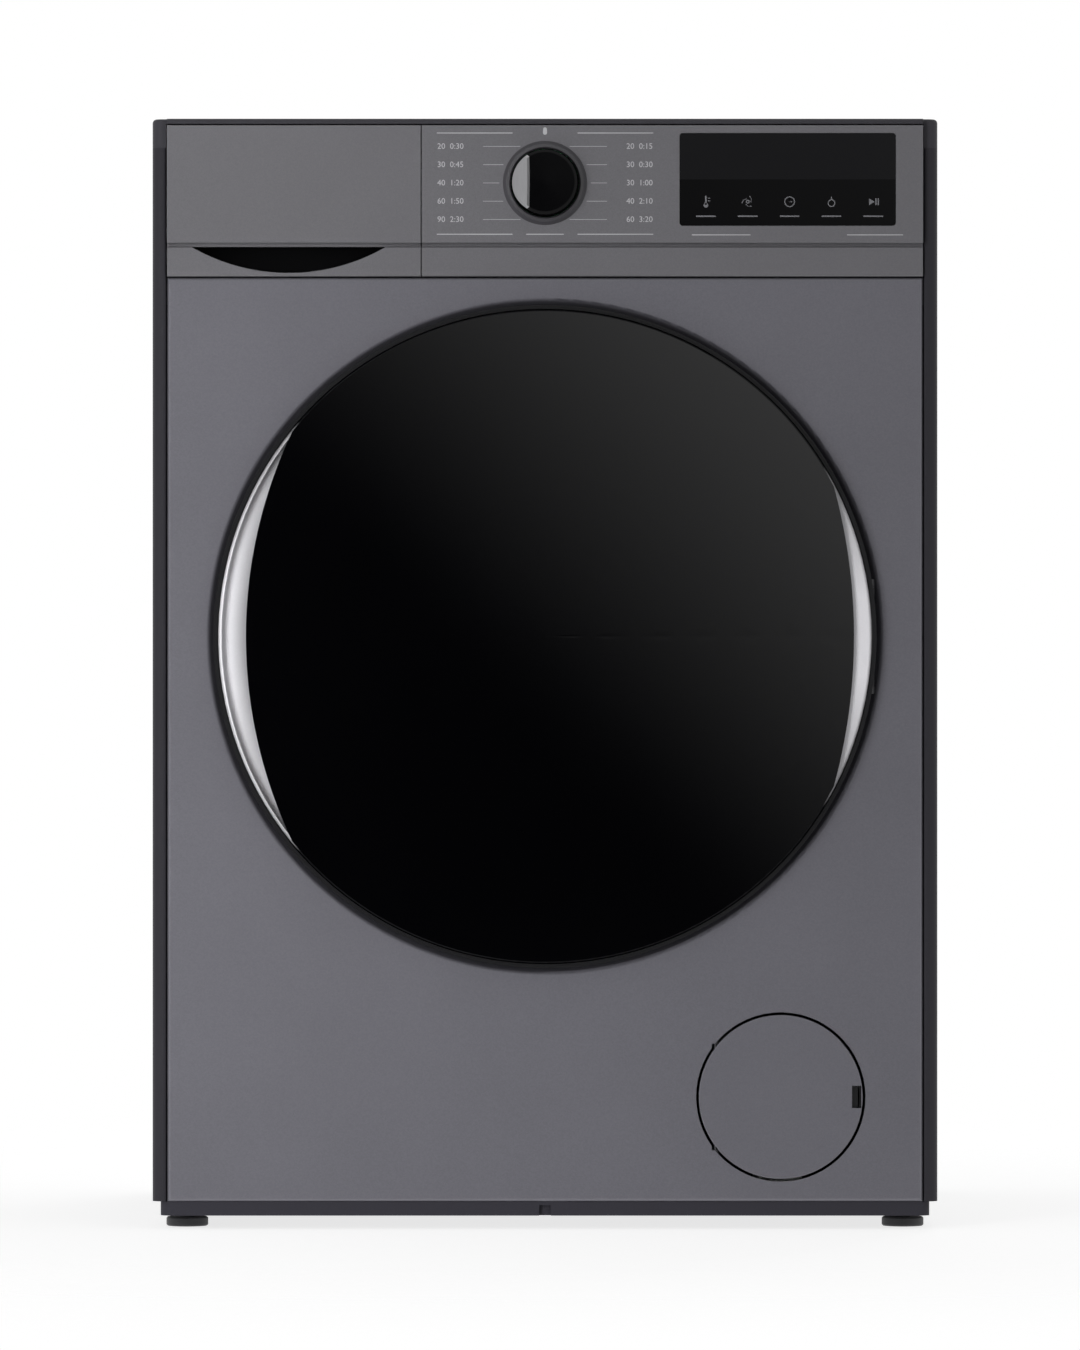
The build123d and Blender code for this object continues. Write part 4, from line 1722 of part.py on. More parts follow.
def pieces():
    """Every piece of the machine, by name."""
    right = side_panel()
    made = {
        "side_panel_left": mirror(right, Plane.YZ),
        "side_panel_right": right,
        "rear_panel": rear_panel(),
        "rear_access_cover": rear_access_cover(),
        "transit_caps": transit_caps(),
        "front_panel": front_panel(),
        "top_cover": top_cover(),
        "cross_members": Compound([front_crossbar(), suspension_beam()]),
        "base_tray": base_tray(),
        "control_fascia": control_fascia(),
        "display_window": display_window(),
        "display_board": display_board(),
        "dial_bezel": dial_bezel(),
        "programme_dial": programme_dial(),
        "dial_inlay": dial_inlay(),
        "dial_encoder": dial_encoder(),
        "drawer_front": drawer_front(),
        "drawer_tray": drawer_tray(),
        "softener_siphon": softener_siphon(),
        "dispenser_housing": dispenser_housing(),
        "door_cover": door_cover(),
        "door_frame": door_frame(),
        "door_back_frame": door_back_frame(),
        "door_glass": door_glass(),
        "door_hinge_bracket": door_hinge_bracket(),
        "door_hinge_leaf": door_hinge_leaf(),
        "hinge_pin": hinge_pin(),
        "latch_hook": latch_hook(),
        "door_lock": door_lock(),
        "door_gasket": door_gasket(),
        "tub_front": tub_front(),
        "tub_rear": tub_rear(),
        "bearings": bearings(),
        "drum_shell": drum_shell(),
        "drum_lifters": drum_lifters(),
        "drum_spider": drum_spider(),
        "drum_pulley": drum_pulley(),
        "drive_belt": drive_belt(),
        "motor_stator": motor_stator(),
        "motor_rotor": motor_rotor(),
        "counterweights": counterweights(),
        "heater": heater(),
        "hanging_springs": hanging_springs(),
        "damper_cylinders": damper_cylinders(),
        "damper_rods": damper_rods(),
        "filter_collar": filter_collar(),
        "filter_flap": filter_flap(),
        "pump_filter": pump_filter(),
        "drain_pump": drain_pump(),
        "pump_impeller": pump_impeller(),
        "sump_hose": sump_hose(),
        "dispenser_hose": dispenser_hose(),
        "inlet_valve": inlet_valve(),
        "drain_outlet": drain_outlet(),
        "cord_gland": cord_gland(),
        "control_module": control_module(),
    }
    for name, (x, d) in foot_places().items():
        made[name] = foot(x, d)
    return made


os.makedirs("parts", exist_ok=True)
for node, shape in pieces().items():
    export_step(shape, f"parts/{node}.step")
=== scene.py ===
"""Looks of a front load washing machine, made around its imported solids."""

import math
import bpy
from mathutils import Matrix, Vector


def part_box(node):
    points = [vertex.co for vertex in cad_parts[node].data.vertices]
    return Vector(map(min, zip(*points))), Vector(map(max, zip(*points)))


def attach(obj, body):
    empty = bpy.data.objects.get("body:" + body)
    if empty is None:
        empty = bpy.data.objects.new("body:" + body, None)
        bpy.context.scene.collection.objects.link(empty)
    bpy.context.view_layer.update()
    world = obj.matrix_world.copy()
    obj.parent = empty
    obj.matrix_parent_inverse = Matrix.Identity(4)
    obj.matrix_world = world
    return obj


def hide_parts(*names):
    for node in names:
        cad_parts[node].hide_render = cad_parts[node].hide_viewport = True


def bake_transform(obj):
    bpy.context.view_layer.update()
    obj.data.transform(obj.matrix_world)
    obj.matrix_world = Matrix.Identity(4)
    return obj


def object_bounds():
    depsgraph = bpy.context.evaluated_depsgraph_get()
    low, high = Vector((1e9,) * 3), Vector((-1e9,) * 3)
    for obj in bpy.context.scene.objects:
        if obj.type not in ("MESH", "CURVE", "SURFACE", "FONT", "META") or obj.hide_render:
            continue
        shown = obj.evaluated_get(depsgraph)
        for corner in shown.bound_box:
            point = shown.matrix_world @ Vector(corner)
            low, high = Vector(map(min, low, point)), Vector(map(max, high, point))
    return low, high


bl_info = {
    "name": "Front Load Washing Machine",
    "version": (1, 0, 0),
    "blender": (4, 5, 0),
    "location": "View3D > Sidebar > Washer",
    "description": "Dresses the solids of a front load washing machine and sets up its studio",
    "category": "Object",
}

from functools import partial

import bmesh
import bpy
from bpy.props import FloatProperty, IntProperty, PointerProperty, StringProperty
from mathutils import Vector

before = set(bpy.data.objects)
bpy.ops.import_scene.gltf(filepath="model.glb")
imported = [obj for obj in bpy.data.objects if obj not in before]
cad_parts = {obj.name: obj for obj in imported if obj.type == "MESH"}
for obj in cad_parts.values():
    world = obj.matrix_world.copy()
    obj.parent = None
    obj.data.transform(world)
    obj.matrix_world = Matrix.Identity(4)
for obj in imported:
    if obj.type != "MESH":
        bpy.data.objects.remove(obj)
CAD_LOW, CAD_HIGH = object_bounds()

MM = 0.001
FRONT = (math.pi / 2, 0, 0)
REAR = (-math.pi / 2, 0, 0)

FASCIA_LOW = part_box("control_fascia")[0]
WINDOW_LOW, WINDOW_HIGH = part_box("display_window")
DIAL_LOW, DIAL_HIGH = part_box("programme_dial")
BEZEL_LOW, BEZEL_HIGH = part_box("dial_bezel")
DRUM_LOW, DRUM_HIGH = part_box("drum_shell")
GASKET_LOW, GASKET_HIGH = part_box("door_gasket")
PANEL_LOW, PANEL_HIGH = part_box("front_panel")
TRAY_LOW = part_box("drawer_tray")[0]
RING_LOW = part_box("door_frame")[0]
PANEL_Y = PANEL_LOW.y
REAR_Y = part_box("side_panel_left")[1].y
DIAL_Z = (DIAL_LOW.z + DIAL_HIGH.z) / 2
AXIS_Z = (DRUM_LOW.z + DRUM_HIGH.z) / 2


class WasherColours(bpy.types.PropertyGroup):
    """Colours of the machine's finishes, as sRGB hex codes."""

    panel: StringProperty(name="Panel", description="Metallic paint of the front sheet", default="626168")
    moulding: StringProperty(
        name="Moulding", description="Lacquer of the control mouldings", default="646367"
    )
    # The sides are set darker than the front sheet as painted shade, for sheets turned away from the light.
    side: StringProperty(name="Sides", description="Paint of the side sheets", default="222126")
    worktop: StringProperty(name="Worktop", description="Grained worktop moulding", default="2C2B30")
    door: StringProperty(name="Door", description="Gloss black of the door cover", default="020203")
    silver: StringProperty(name="Silver", description="Lacquer of the door ring", default="E0DFE3")
    ink: StringProperty(name="Ink", description="Printed marks on the control panel", default="ABABAE")


class WasherSizes(bpy.types.PropertyGroup):
    """Sizes of the details that are added to the solids."""

    numeral: FloatProperty(
        name="Numeral", description="Height of the printed numbers", default=4.4 * MM, unit="LENGTH"
    )
    rule: FloatProperty(
        name="Rule", description="Thickness of the printed lines", default=0.7 * MM, unit="LENGTH"
    )
    ink: FloatProperty(
        name="Ink Film", description="Thickness of the printed ink", default=0.05 * MM, unit="LENGTH"
    )
    row_pitch: FloatProperty(
        name="Row Pitch", description="Height between two rows of numbers", default=13.9 * MM, unit="LENGTH"
    )
    key_sign: FloatProperty(
        name="Key Sign", description="Height of a touch key's sign", default=9.0 * MM, unit="LENGTH"
    )
    hole: FloatProperty(
        name="Drum Hole", description="Radius of a hole in the drum", default=2.0 * MM, unit="LENGTH"
    )
    hole_pitch: FloatProperty(
        name="Hole Pitch", description="Distance between rows of drum holes", default=19.0 * MM, unit="LENGTH"
    )
    screw: FloatProperty(
        name="Screw Head", description="Radius of a sheet metal screw's head", default=4.2 * MM, unit="LENGTH"
    )
    spring_turns: IntProperty(
        name="Spring Turns", description="Turns of wire in each hanging spring", default=12, min=3
    )


def colours():
    return bpy.context.scene.washer_colours


def sizes():
    return bpy.context.scene.washer_sizes


def linear(code):
    """An sRGB hex code as a linear colour."""
    channels = [int(code[i : i + 2], 16) / 255 for i in (0, 2, 4)]
    return [c / 12.92 if c <= 0.04045 else ((c + 0.055) / 1.055) ** 2.4 for c in channels] + [1.0]


def shade(code, factor):
    """A hex code made darker or lighter by a factor on its sRGB values."""
    channels = [min(255, round(int(code[i : i + 2], 16) * factor)) for i in (0, 2, 4)]
    return "".join(f"{c:02X}" for c in channels)


def add_node(tree, kind, inputs=None, **settings):
    """Adds a shader node, gives it its settings, and sets or links its inputs.

    A node given as an input stands for its first output.
    """
    node = tree.nodes.new("ShaderNode" + kind)
    for key, value in settings.items():
        setattr(node, key, value)
    for key, value in (inputs or {}).items():
        if isinstance(value, bpy.types.Node):
            value = value.outputs[0]
        if isinstance(value, bpy.types.NodeSocket):
            tree.links.new(value, node.inputs[key])
        else:
            node.inputs[key].default_value = value
    return node


def new_material(name):
    """An empty node material, its tree and the piece's own coordinates."""
    material = bpy.data.materials.new(name)
    material.use_nodes = True
    tree = material.node_tree
    tree.nodes.clear()
    return material, tree, add_node(tree, "TexCoord").outputs["Object"]


def close_material(material, inputs):
    """Ends a material with the main shader and the output."""
    shader = add_node(material.node_tree, "BsdfPrincipled", inputs)
    add_node(material.node_tree, "OutputMaterial", {"Surface": shader})
    return material


def grained(name, low, high, grain, roughness, relief=0.0, stretch=(1, 1, 1), inputs=None, turned=False):
    """A finish whose colour, gloss and relief follow one noise of a real grain size in millimetres.

    A turned finish runs in rings round the drum's axis. Skins and brush lines finer than about half a
    millimetre are drawn that coarse, because they wouldn't show.
    """
    material, tree, place = new_material(name)
    if turned:
        spot = add_node(tree, "SeparateXYZ", {"Vector": place}).outputs
        rise = add_node(tree, "Math", {0: spot["Z"], 1: AXIS_Z}, operation="SUBTRACT")
        across = add_node(tree, "CombineXYZ", {"X": spot["X"], "Z": rise})
        reach = add_node(tree, "VectorMath", {0: across}, operation="LENGTH").outputs["Value"]
        place = add_node(tree, "CombineXYZ", {"X": reach, "Y": spot["Y"]})
    place = add_node(tree, "Mapping", {"Vector": place, "Scale": stretch})
    noise = add_node(tree, "TexNoise", {"Vector": place, "Scale": 1 / (grain * MM), "Detail": 3.0})
    colour = add_node(tree, "Mix", {0: noise, 6: linear(low), 7: linear(high)}, data_type="RGBA")
    gloss = add_node(tree, "MapRange", {"Value": noise, "To Min": roughness[0], "To Max": roughness[1]})
    surface = {"Base Color": colour.outputs[2], "Roughness": gloss}
    if relief:
        bump = {"Height": noise, "Distance": relief * MM, "Strength": 1.0}
        surface["Normal"] = add_node(tree, "Bump", bump)
    surface.update(inputs or {})
    return close_material(material, surface)


def metallic_paint(name, code, flake, roughness, metal=0.3, shine=0.5, coat=0.2, bare=None):
    """Metallic paint under a thin clear coat, with black plastic left bare behind a given depth.

    Real flakes are too fine to show, so they are drawn about a millimetre wide.
    """
    material, tree, place = new_material(name)
    flakes = add_node(tree, "TexVoronoi", {"Vector": place, "Scale": 1 / (flake * MM)})
    glint = add_node(tree, "SeparateColor", {"Color": flakes.outputs["Color"]}).outputs["Red"]
    cloud = add_node(tree, "TexNoise", {"Vector": place, "Scale": 1 / (90 * MM), "Detail": 2.0})
    tones = {0: glint, 6: linear(shade(code, 0.97)), 7: linear(shade(code, 1.03))}
    fleck = add_node(tree, "Mix", tones, data_type="RGBA").outputs[2]
    broad = add_node(tree, "MapRange", {"Value": cloud, "To Min": 0.94, "To Max": 1.06})
    colour = add_node(tree, "HueSaturation", {"Color": fleck, "Value": broad})
    if bare:
        depth = add_node(tree, "SeparateXYZ", {"Vector": place}).outputs["Y"]
        spray = {"Value": depth, "From Min": bare - 0.1 * MM, "From Max": bare + 0.1 * MM}
        tones = {0: add_node(tree, "MapRange", spray), 6: colour, 7: linear("0B0B0D")}
        colour = add_node(tree, "Mix", tones, data_type="RGBA").outputs[2]
    gloss = {"Value": glint, "To Min": roughness - 0.02, "To Max": roughness + 0.02}
    peel = add_node(tree, "TexNoise", {"Vector": place, "Scale": 1 / (2.4 * MM), "Detail": 1.0})
    surface = {
        "Base Color": colour,
        "Metallic": metal,
        "Roughness": add_node(tree, "MapRange", gloss),
        "Specular IOR Level": shine,
        "Normal": add_node(tree, "Bump", {"Height": peel, "Distance": 0.004 * MM, "Strength": 1.0}),
        "Coat Weight": coat,
        "Coat Roughness": 0.25,
    }
    return close_material(material, surface)


def graphite_paint():
    # Prepainted steel sheet: satin graphite with a fine metallic glint and faint orange peel.
    return metallic_paint("Prepainted steel, graphite metallic", colours().panel, 0.9, 0.42)


def graphite_lacquer():
    # Lacquered ABS moulding: the same tone as the sheet, a little smoother.
    return metallic_paint("Lacquered ABS, graphite metallic", colours().moulding, 0.7, 0.40)


def flap_lacquer():
    # Black ABS moulding, sprayed on its face in the sheet's own tone.
    face = PANEL_Y + 0.6 * MM
    return metallic_paint("Lacquered ABS, graphite flap", colours().panel, 0.8, 0.42, bare=face)


def dark_side_painted_shade():
    # Prepainted steel sheet: dark grey, satin, with less glint than the front. It is kept darker than the
    # front sheet as painted shade, for the sides that turn away from the light.
    return metallic_paint("Prepainted steel, dark grey with painted shade", colours().side, 1.1, 0.55, 0.0, 0.25, 0.0)


def mirror_level(level):
    """How strongly a finish mirrors; 0.5 is usual for its IOR."""
    return {"Specular IOR Level": level}


METAL = {"Metallic": 1.0}


def worktop_plastic():
    # Moulded ABS with a leather-like etched grain that scatters the light.
    code = colours().worktop
    tones = (shade(code, 0.9), shade(code, 1.1))
    return grained("ABS, etched grain", *tones, 1.6, (0.5, 0.62), 0.05, inputs=mirror_level(0.3))


# Filled polypropylene: matt dark grey with a spark-eroded skin.
base_plastic = partial(
    grained, "Filled polypropylene, dark grey", "25242A", "302F36", 1.2, (0.55, 0.7), 0.03,
    inputs=mirror_level(0.2),
)

# Moulded polypropylene: matt black with a fine skin.
black_plastic = partial(grained, "Polypropylene, black", "101012", "1C1C1F", 1.0, (0.45, 0.6), 0.02)

# Moulded ABS: satin black with a fine skin, duller than the door's cover.
satin_plastic = partial(
    grained, "ABS, satin black", "0A0A0C", "121214", 1.0, (0.42, 0.54), 0.01, inputs=mirror_level(0.25)
)

# Moulded ABS with a fine matt skin: a black liner of painted shade, standing in for the shadow in the
# drawer's finger recess.
recess_shade_plastic = partial(
    grained, "ABS, matt black, painted shade", "030304", "070708", 1.0, (0.6, 0.75), 0.02, inputs=mirror_level(0.1)
)

# Satin ABS: dark grey ring with soft reflections.
bezel_plastic = partial(grained, "ABS, satin dark grey", "343337", "3E3D41", 0.8, (0.28, 0.36), 0.006)

# Polypropylene moulding in pale grey, smooth where water runs over it.
pale_plastic = partial(grained, "Polypropylene, pale grey", "C4C6C5", "D6D8D7", 6.0, (0.34, 0.44), 0.01)

# Talc-filled polypropylene: off-white, slightly mottled.
white_plastic = partial(grained, "Filled polypropylene, white", "CFD0CC", "DEDFDC", 5.0, (0.42, 0.54), 0.015)

# Polypropylene moulding in blue, the usual colour of pieces that the user takes out.
blue_plastic = partial(grained, "Polypropylene, blue", "2A568C", "3A6AA4", 4.0, (0.36, 0.46), 0.01)

# Mineral-filled polypropylene: grey-white with long flow marks.
tub_plastic = partial(
    grained, "Mineral-filled polypropylene", "B2B5B1", "CBCDC9", 9.0, (0.46, 0.6), 0.03, (1, 0.3, 1)
)

# Gloss ABS: deep black that mirrors the studio softly.
dial_plastic = partial(
    grained, "ABS, gloss black", "030304", "060607", 2.0, (0.08, 0.12),
    inputs={"IOR": 1.4, **mirror_level(0.15)},
)


def door_acrylic():
    # Back-painted acrylic: deep gloss black, faintly uneven as moulded sheet is.
    code = colours().door
    gloss = {"IOR": 1.49}
    return grained("Acrylic, gloss black", code, shade(code, 1.4), 120.0, (0.07, 0.1), 0.004, inputs=gloss)


# Heights of the crescents' tips from the door's axis: the left one, the finger grip, reaches further.
CRESCENT_TIP = 120 * MM
GRIP_EXTRA = 34 * MM
TIP_FADE = 9 * MM
SPRAYED_DEPTH = 11 * MM
# Radii of painted shade on the silver: it darkens towards its inner edge, and towards its outer rim to dim
# the rim's highlight.
INNER_PAINTED_SHADE = (229 * MM, 240 * MM)
OUTER_PAINTED_SHADE = (246 * MM, 248 * MM)


def silver_lacquer():
    # Black ABS ring, masked and sprayed with satin silver where the two crescents show. The silver is
    # darkened towards the tips and at both edges of the spray as painted shade. Its flakes are drawn coarser
    # than they are.
    material, tree, place = new_material("Lacquered ABS, silver crescents")
    flakes = add_node(tree, "TexNoise", {"Vector": place, "Scale": 1 / (0.7 * MM), "Detail": 3.0})
    code = colours().silver
    tones = {0: flakes, 6: linear(shade(code, 0.97)), 7: linear(shade(code, 1.03))}
    silver = add_node(tree, "Mix", tones, data_type="RGBA").outputs[2]
    spot = add_node(tree, "SeparateXYZ", {"Vector": place}).outputs
    level = add_node(tree, "Math", {0: spot["Z"], 1: AXIS_Z}, operation="SUBTRACT")
    level = add_node(tree, "Math", {0: level}, operation="ABSOLUTE")
    left = add_node(tree, "Math", {0: spot["X"], 1: 0.0}, operation="LESS_THAN")
    tip = add_node(tree, "Math", {0: left, 1: GRIP_EXTRA, 2: CRESCENT_TIP}, operation="MULTIPLY_ADD")
    beyond = add_node(tree, "Math", {0: level, 1: tip}, operation="SUBTRACT")
    band = add_node(tree, "MapRange", {"Value": beyond, "From Max": TIP_FADE, "To Min": 1.0, "To Max": 0.0})
    face = RING_LOW.y + SPRAYED_DEPTH
    ahead = {"Value": spot["Y"], "From Min": face - MM, "From Max": face + MM, "To Min": 1.0, "To Max": 0.0}
    front = add_node(tree, "MapRange", ahead)
    shown = add_node(tree, "Math", {0: front, 1: left}, operation="MAXIMUM")
    sprayed = add_node(tree, "Math", {0: band, 1: shown}, operation="MULTIPLY")
    share = add_node(tree, "Math", {0: level, 1: tip}, operation="DIVIDE")
    # Painted shade: the silver darkens to half its tone towards each crescent's tips.
    taper = add_node(tree, "MapRange", {"Value": share, "From Min": 0.25, "To Min": 1.0, "To Max": 0.5})
    flat = add_node(tree, "CombineXYZ", {"X": spot["X"], "Z": level})
    reach = add_node(tree, "VectorMath", {0: flat}, operation="LENGTH").outputs["Value"]
    edge_shade = []
    for (start, end), before, after in ((INNER_PAINTED_SHADE, 0.44, 1.0), (OUTER_PAINTED_SHADE, 1.0, 0.62)):
        edge = {"Value": reach, "From Min": start, "From Max": end, "To Min": before, "To Max": after}
        edge_shade.append(add_node(tree, "MapRange", edge))
    edge_shade = add_node(tree, "Math", {0: edge_shade[0], 1: edge_shade[1]}, operation="MULTIPLY")
    # Painted shade: the darkening at the tips and edges is multiplied into the silver's colour.
    thin = add_node(tree, "Math", {0: taper, 1: edge_shade}, operation="MULTIPLY")
    silver = add_node(tree, "HueSaturation", {"Color": silver, "Value": thin})
    colour = add_node(tree, "Mix", {0: sprayed, 6: linear("0A0A0C"), 7: silver}, data_type="RGBA")
    surface = {
        "Base Color": colour.outputs[2],
        "Roughness": add_node(tree, "MapRange", {"Value": flakes, "To Min": 0.45, "To Max": 0.52}),
        "Metallic": add_node(tree, "MapRange", {"Value": sprayed, "To Max": 0.06}),
        **mirror_level(0.15),
    }
    return close_material(material, surface)


# Aluminium plate, brushed along its facet: long fine lines with a soft streak of light.
brushed_aluminium = partial(
    grained, "Aluminium, brushed", "8E8E90", "A6A6A8", 0.6, (0.26, 0.4), 0.01, (1, 1, 0.04), METAL
)


def galvanised_steel():
    # Hot-dip galvanised sheet: flat crystals of zinc, each with its own tone and gloss.
    material, tree, place = new_material("Galvanised steel, spangled")
    noise = add_node(tree, "TexNoise", {"Vector": place, "Scale": 1 / (8 * MM), "Detail": 2.0})
    bend = {0: noise.outputs["Color"], 1: (6 * MM,) * 3}
    bend = add_node(tree, "VectorMath", bend, operation="MULTIPLY")
    warped = add_node(tree, "VectorMath", {0: place, 1: bend}, operation="ADD")
    crystal = add_node(tree, "TexVoronoi", {"Vector": warped, "Scale": 1 / (9 * MM)})
    tone = add_node(tree, "SeparateColor", {"Color": crystal.outputs["Color"]}).outputs
    greys = {0: tone["Red"], 6: linear("989B9D"), 7: linear("A7AAAC")}
    colour = add_node(tree, "Mix", greys, data_type="RGBA").outputs[2]
    gloss = add_node(tree, "MapRange", {"Value": tone["Green"], "To Min": 0.38, "To Max": 0.5})
    return close_material(material, {"Base Color": colour, "Roughness": gloss, **METAL})


# Galvanised sheet rolled once more: the crystals are gone and a dull, even grey is left.
skin_passed_steel = partial(
    grained, "Galvanised steel, skin passed", "85888B", "929598", 1.6, (0.44, 0.54), 0.01, inputs=METAL
)

# Zinc-plated steel: bright and slightly blue, with a cloudy passivated film.
zinc_plate = partial(
    grained, "Steel, zinc plated", "9DA1A6", "C3C6C9", 7.0, (0.24, 0.4), 0.004, inputs=METAL
)

# Steel plate under black electrophoretic paint: thin, even, half matt.
black_steel = partial(grained, "Steel, black e-coat", "0E0E10", "161618", 2.0, (0.4, 0.5), 0.006)

# Oil-tempered wire: dark and smooth, with a thin uneven skin of oxide.
spring_steel = partial(
    grained, "Spring wire, oil tempered", "55575B", "7B7D81", 3.0, (0.3, 0.42), 0.004, inputs=METAL
)

# Ground bearing steel: bright rings with turning marks.
bearing_steel = partial(
    grained, "Bearing steel, ground", "B4B6B9", "CDCFD1", 1.0, (0.14, 0.24), 0.003, (1, 8, 1), METAL
)

# Stainless sheet, brushed round the drum: fine rings about its axis.
stainless_steel = partial(
    grained, "Stainless steel, brushed", "BEC0C2", "D2D3D5", 1.4, (0.32, 0.42), 0.004,
    inputs=METAL, turned=True,
)

# Die-cast aluminium: dull grey with the mould's flow marks.
cast_aluminium = partial(
    grained, "Aluminium, die cast", "8B8E91", "B0B2B4", 6.0, (0.42, 0.58), 0.05, inputs=METAL
)

# Laminated core: thin steel sheets stacked along the shaft.
rotor_steel = partial(
    grained, "Electrical steel, laminated", "45484B", "63666A", 1.2, (0.4, 0.55), 0.04, (0.05, 1, 0.05), METAL
)


def concrete():
    # Cast concrete: grey cement with pale aggregate and small pits.
    material, tree, place = new_material("Concrete, cast")
    coarse = add_node(tree, "TexNoise", {"Vector": place, "Scale": 1 / (18 * MM), "Detail": 6.0})
    pores = add_node(tree, "TexVoronoi", {"Vector": place, "Scale": 1 / (7 * MM)})
    greys = {0: coarse, 6: linear("827F79"), 7: linear("AEABA4")}
    colour = add_node(tree, "Mix", greys, data_type="RGBA").outputs[2]
    pit = add_node(tree, "MapRange", {"Value": pores.outputs["Distance"], "From Max": 0.35})
    bump = add_node(tree, "Bump", {"Height": pit, "Distance": 0.4 * MM, "Strength": 1.0})
    return close_material(material, {"Base Color": colour, "Roughness": 0.88, "Normal": bump})


def circuit_board():
    # Glass-epoxy board: green solder mask over lighter copper tracks.
    material, tree, place = new_material("Glass epoxy, green solder mask")
    tracks = {
        "Vector": add_node(tree, "Mapping", {"Vector": place, "Rotation": FRONT}),
        "Color1": linear("1B4F33"),
        "Color2": linear("1F5A3A"),
        "Mortar": linear("3B7A50"),
        "Scale": 1.0,
        "Mortar Size": 0.6 * MM,
        "Brick Width": 14 * MM,
        "Row Height": 3 * MM,
    }
    return close_material(material, {"Base Color": add_node(tree, "TexBrick", tracks), "Roughness": 0.35})


# Moulded EPDM: matt mid grey, soft, with a faint bloom.
grey_rubber = partial(
    grained, "EPDM rubber, grey", "5C5E60", "74767A", 5.0, (0.5, 0.66), 0.02,
    inputs={"Sheen Weight": 0.15, "Sheen Roughness": 0.5},
)

# Moulded EPDM: matt black, slightly greyed by handling.
black_rubber = partial(
    grained, "EPDM rubber, black", "121214", "222225", 3.0, (0.55, 0.72), 0.03,
    inputs={"Sheen Weight": 0.1, "Sheen Roughness": 0.5},
)


def clear_glass():
    # Pressed borosilicate bowl: clear, with the soft ripple of pressed glass.
    material, tree, place = new_material("Borosilicate glass, pressed")
    ripple = add_node(tree, "TexNoise", {"Vector": place, "Scale": 1 / (40 * MM), "Detail": 1.0})
    surface = {
        "Base Color": linear("E6EEEE"),
        "Roughness": add_node(tree, "MapRange", {"Value": ripple, "To Min": 0.0, "To Max": 0.03}),
        "IOR": 1.47,
        "Transmission Weight": 1.0,
        "Normal": add_node(tree, "Bump", {"Height": ripple, "Distance": 0.2 * MM, "Strength": 1.0}),
    }
    return close_material(material, surface)


def window_acrylic():
    # Printed acrylic pane: a smoky field over the display, deep black under the touch keys.
    material, tree, place = new_material("Acrylic, printed black")
    height = add_node(tree, "SeparateXYZ", {"Vector": place}).outputs["Z"]
    border = (WINDOW_LOW.z + WINDOW_HIGH.z) / 2
    soft_edge = 0.3 * MM
    print_edge = {"Value": height, "From Min": border - soft_edge, "From Max": border + soft_edge}
    fields = {0: add_node(tree, "MapRange", print_edge), 6: linear("040405"), 7: linear("121214")}
    haze = add_node(tree, "TexNoise", {"Vector": place, "Scale": 1 / (30 * MM), "Detail": 2.0})
    surface = {
        "Base Color": add_node(tree, "Mix", fields, data_type="RGBA").outputs[2],
        "Roughness": add_node(tree, "MapRange", {"Value": haze, "To Min": 0.08, "To Max": 0.12}),
        "IOR": 1.35,
        **mirror_level(0.3),
    }
    return close_material(material, surface)


def printing_ink():
    # Pad-printed ink: pale grey, matt, slightly broken on the lacquer.
    code = colours().ink
    return grained("Pad-printing ink, pale grey", shade(code, 0.9), shade(code, 1.08), 0.5, (0.5, 0.6))


# Ink behind the acrylic: a dim white, as unlit touch keys show it.
key_ink = partial(grained, "Printing ink, dim white", "5C5C60", "6C6C70", 0.5, (0.45, 0.55))

# The dark behind a hole, with the little light that comes back out.
dark_hole = partial(grained, "Shadow in a hole", "040404", "0A0A0B", 2.0, (0.7, 0.9))


FINISHES = {
    graphite_paint: ["front_panel"],
    graphite_lacquer: ["control_fascia", "drawer_front"],
    flap_lacquer: ["filter_flap"],
    dark_side_painted_shade: ["side_panel_left", "side_panel_right"],
    worktop_plastic: ["top_cover"],
    base_plastic: ["base_tray"],
    galvanised_steel: ["rear_panel", "cross_members"],
    skin_passed_steel: ["rear_access_cover"],
    black_plastic: [
        "transit_caps", "dial_encoder", "door_lock", "damper_rods", "filter_collar", "drain_outlet",
        "cord_gland", "control_module",
    ],
    satin_plastic: ["door_back_frame"],
    bezel_plastic: ["dial_bezel"],
    pale_plastic: ["drawer_tray", "drum_lifters"],
    white_plastic: ["dispenser_housing", "drain_pump", "pump_impeller", "inlet_valve", "damper_cylinders"],
    blue_plastic: ["softener_siphon", "pump_filter"],
    tub_plastic: ["tub_front", "tub_rear"],
    dial_plastic: ["programme_dial"],
    door_acrylic: ["door_cover"],
    silver_lacquer: ["door_frame"],
    brushed_aluminium: ["dial_inlay"],
    zinc_plate: ["latch_hook"],
    black_steel: ["door_hinge_bracket", "door_hinge_leaf", "hinge_pin"],
    spring_steel: ["hanging_springs"],
    bearing_steel: ["bearings"],
    stainless_steel: ["drum_shell", "heater"],
    cast_aluminium: ["drum_spider", "drum_pulley", "motor_stator"],
    rotor_steel: ["motor_rotor"],
    concrete: ["counterweights"],
    circuit_board: ["display_board"],
    grey_rubber: ["door_gasket"],
    black_rubber: [
        "drive_belt", "sump_hose", "dispenser_hose",
        "foot_front_left", "foot_front_right", "foot_rear_left", "foot_rear_right",
    ],
    clear_glass: ["door_glass"],
    window_acrylic: ["display_window"],
}


def clear_selection():
    bpy.ops.object.select_all(action="DESELECT")


def select_only(obj):
    clear_selection()
    obj.select_set(True)
    bpy.context.view_layer.objects.active = obj


def settle(obj):
    """Puts an object's place, turn and scale into its mesh."""
    select_only(obj)
    bpy.ops.object.transform_apply(location=True, rotation=True, scale=True)


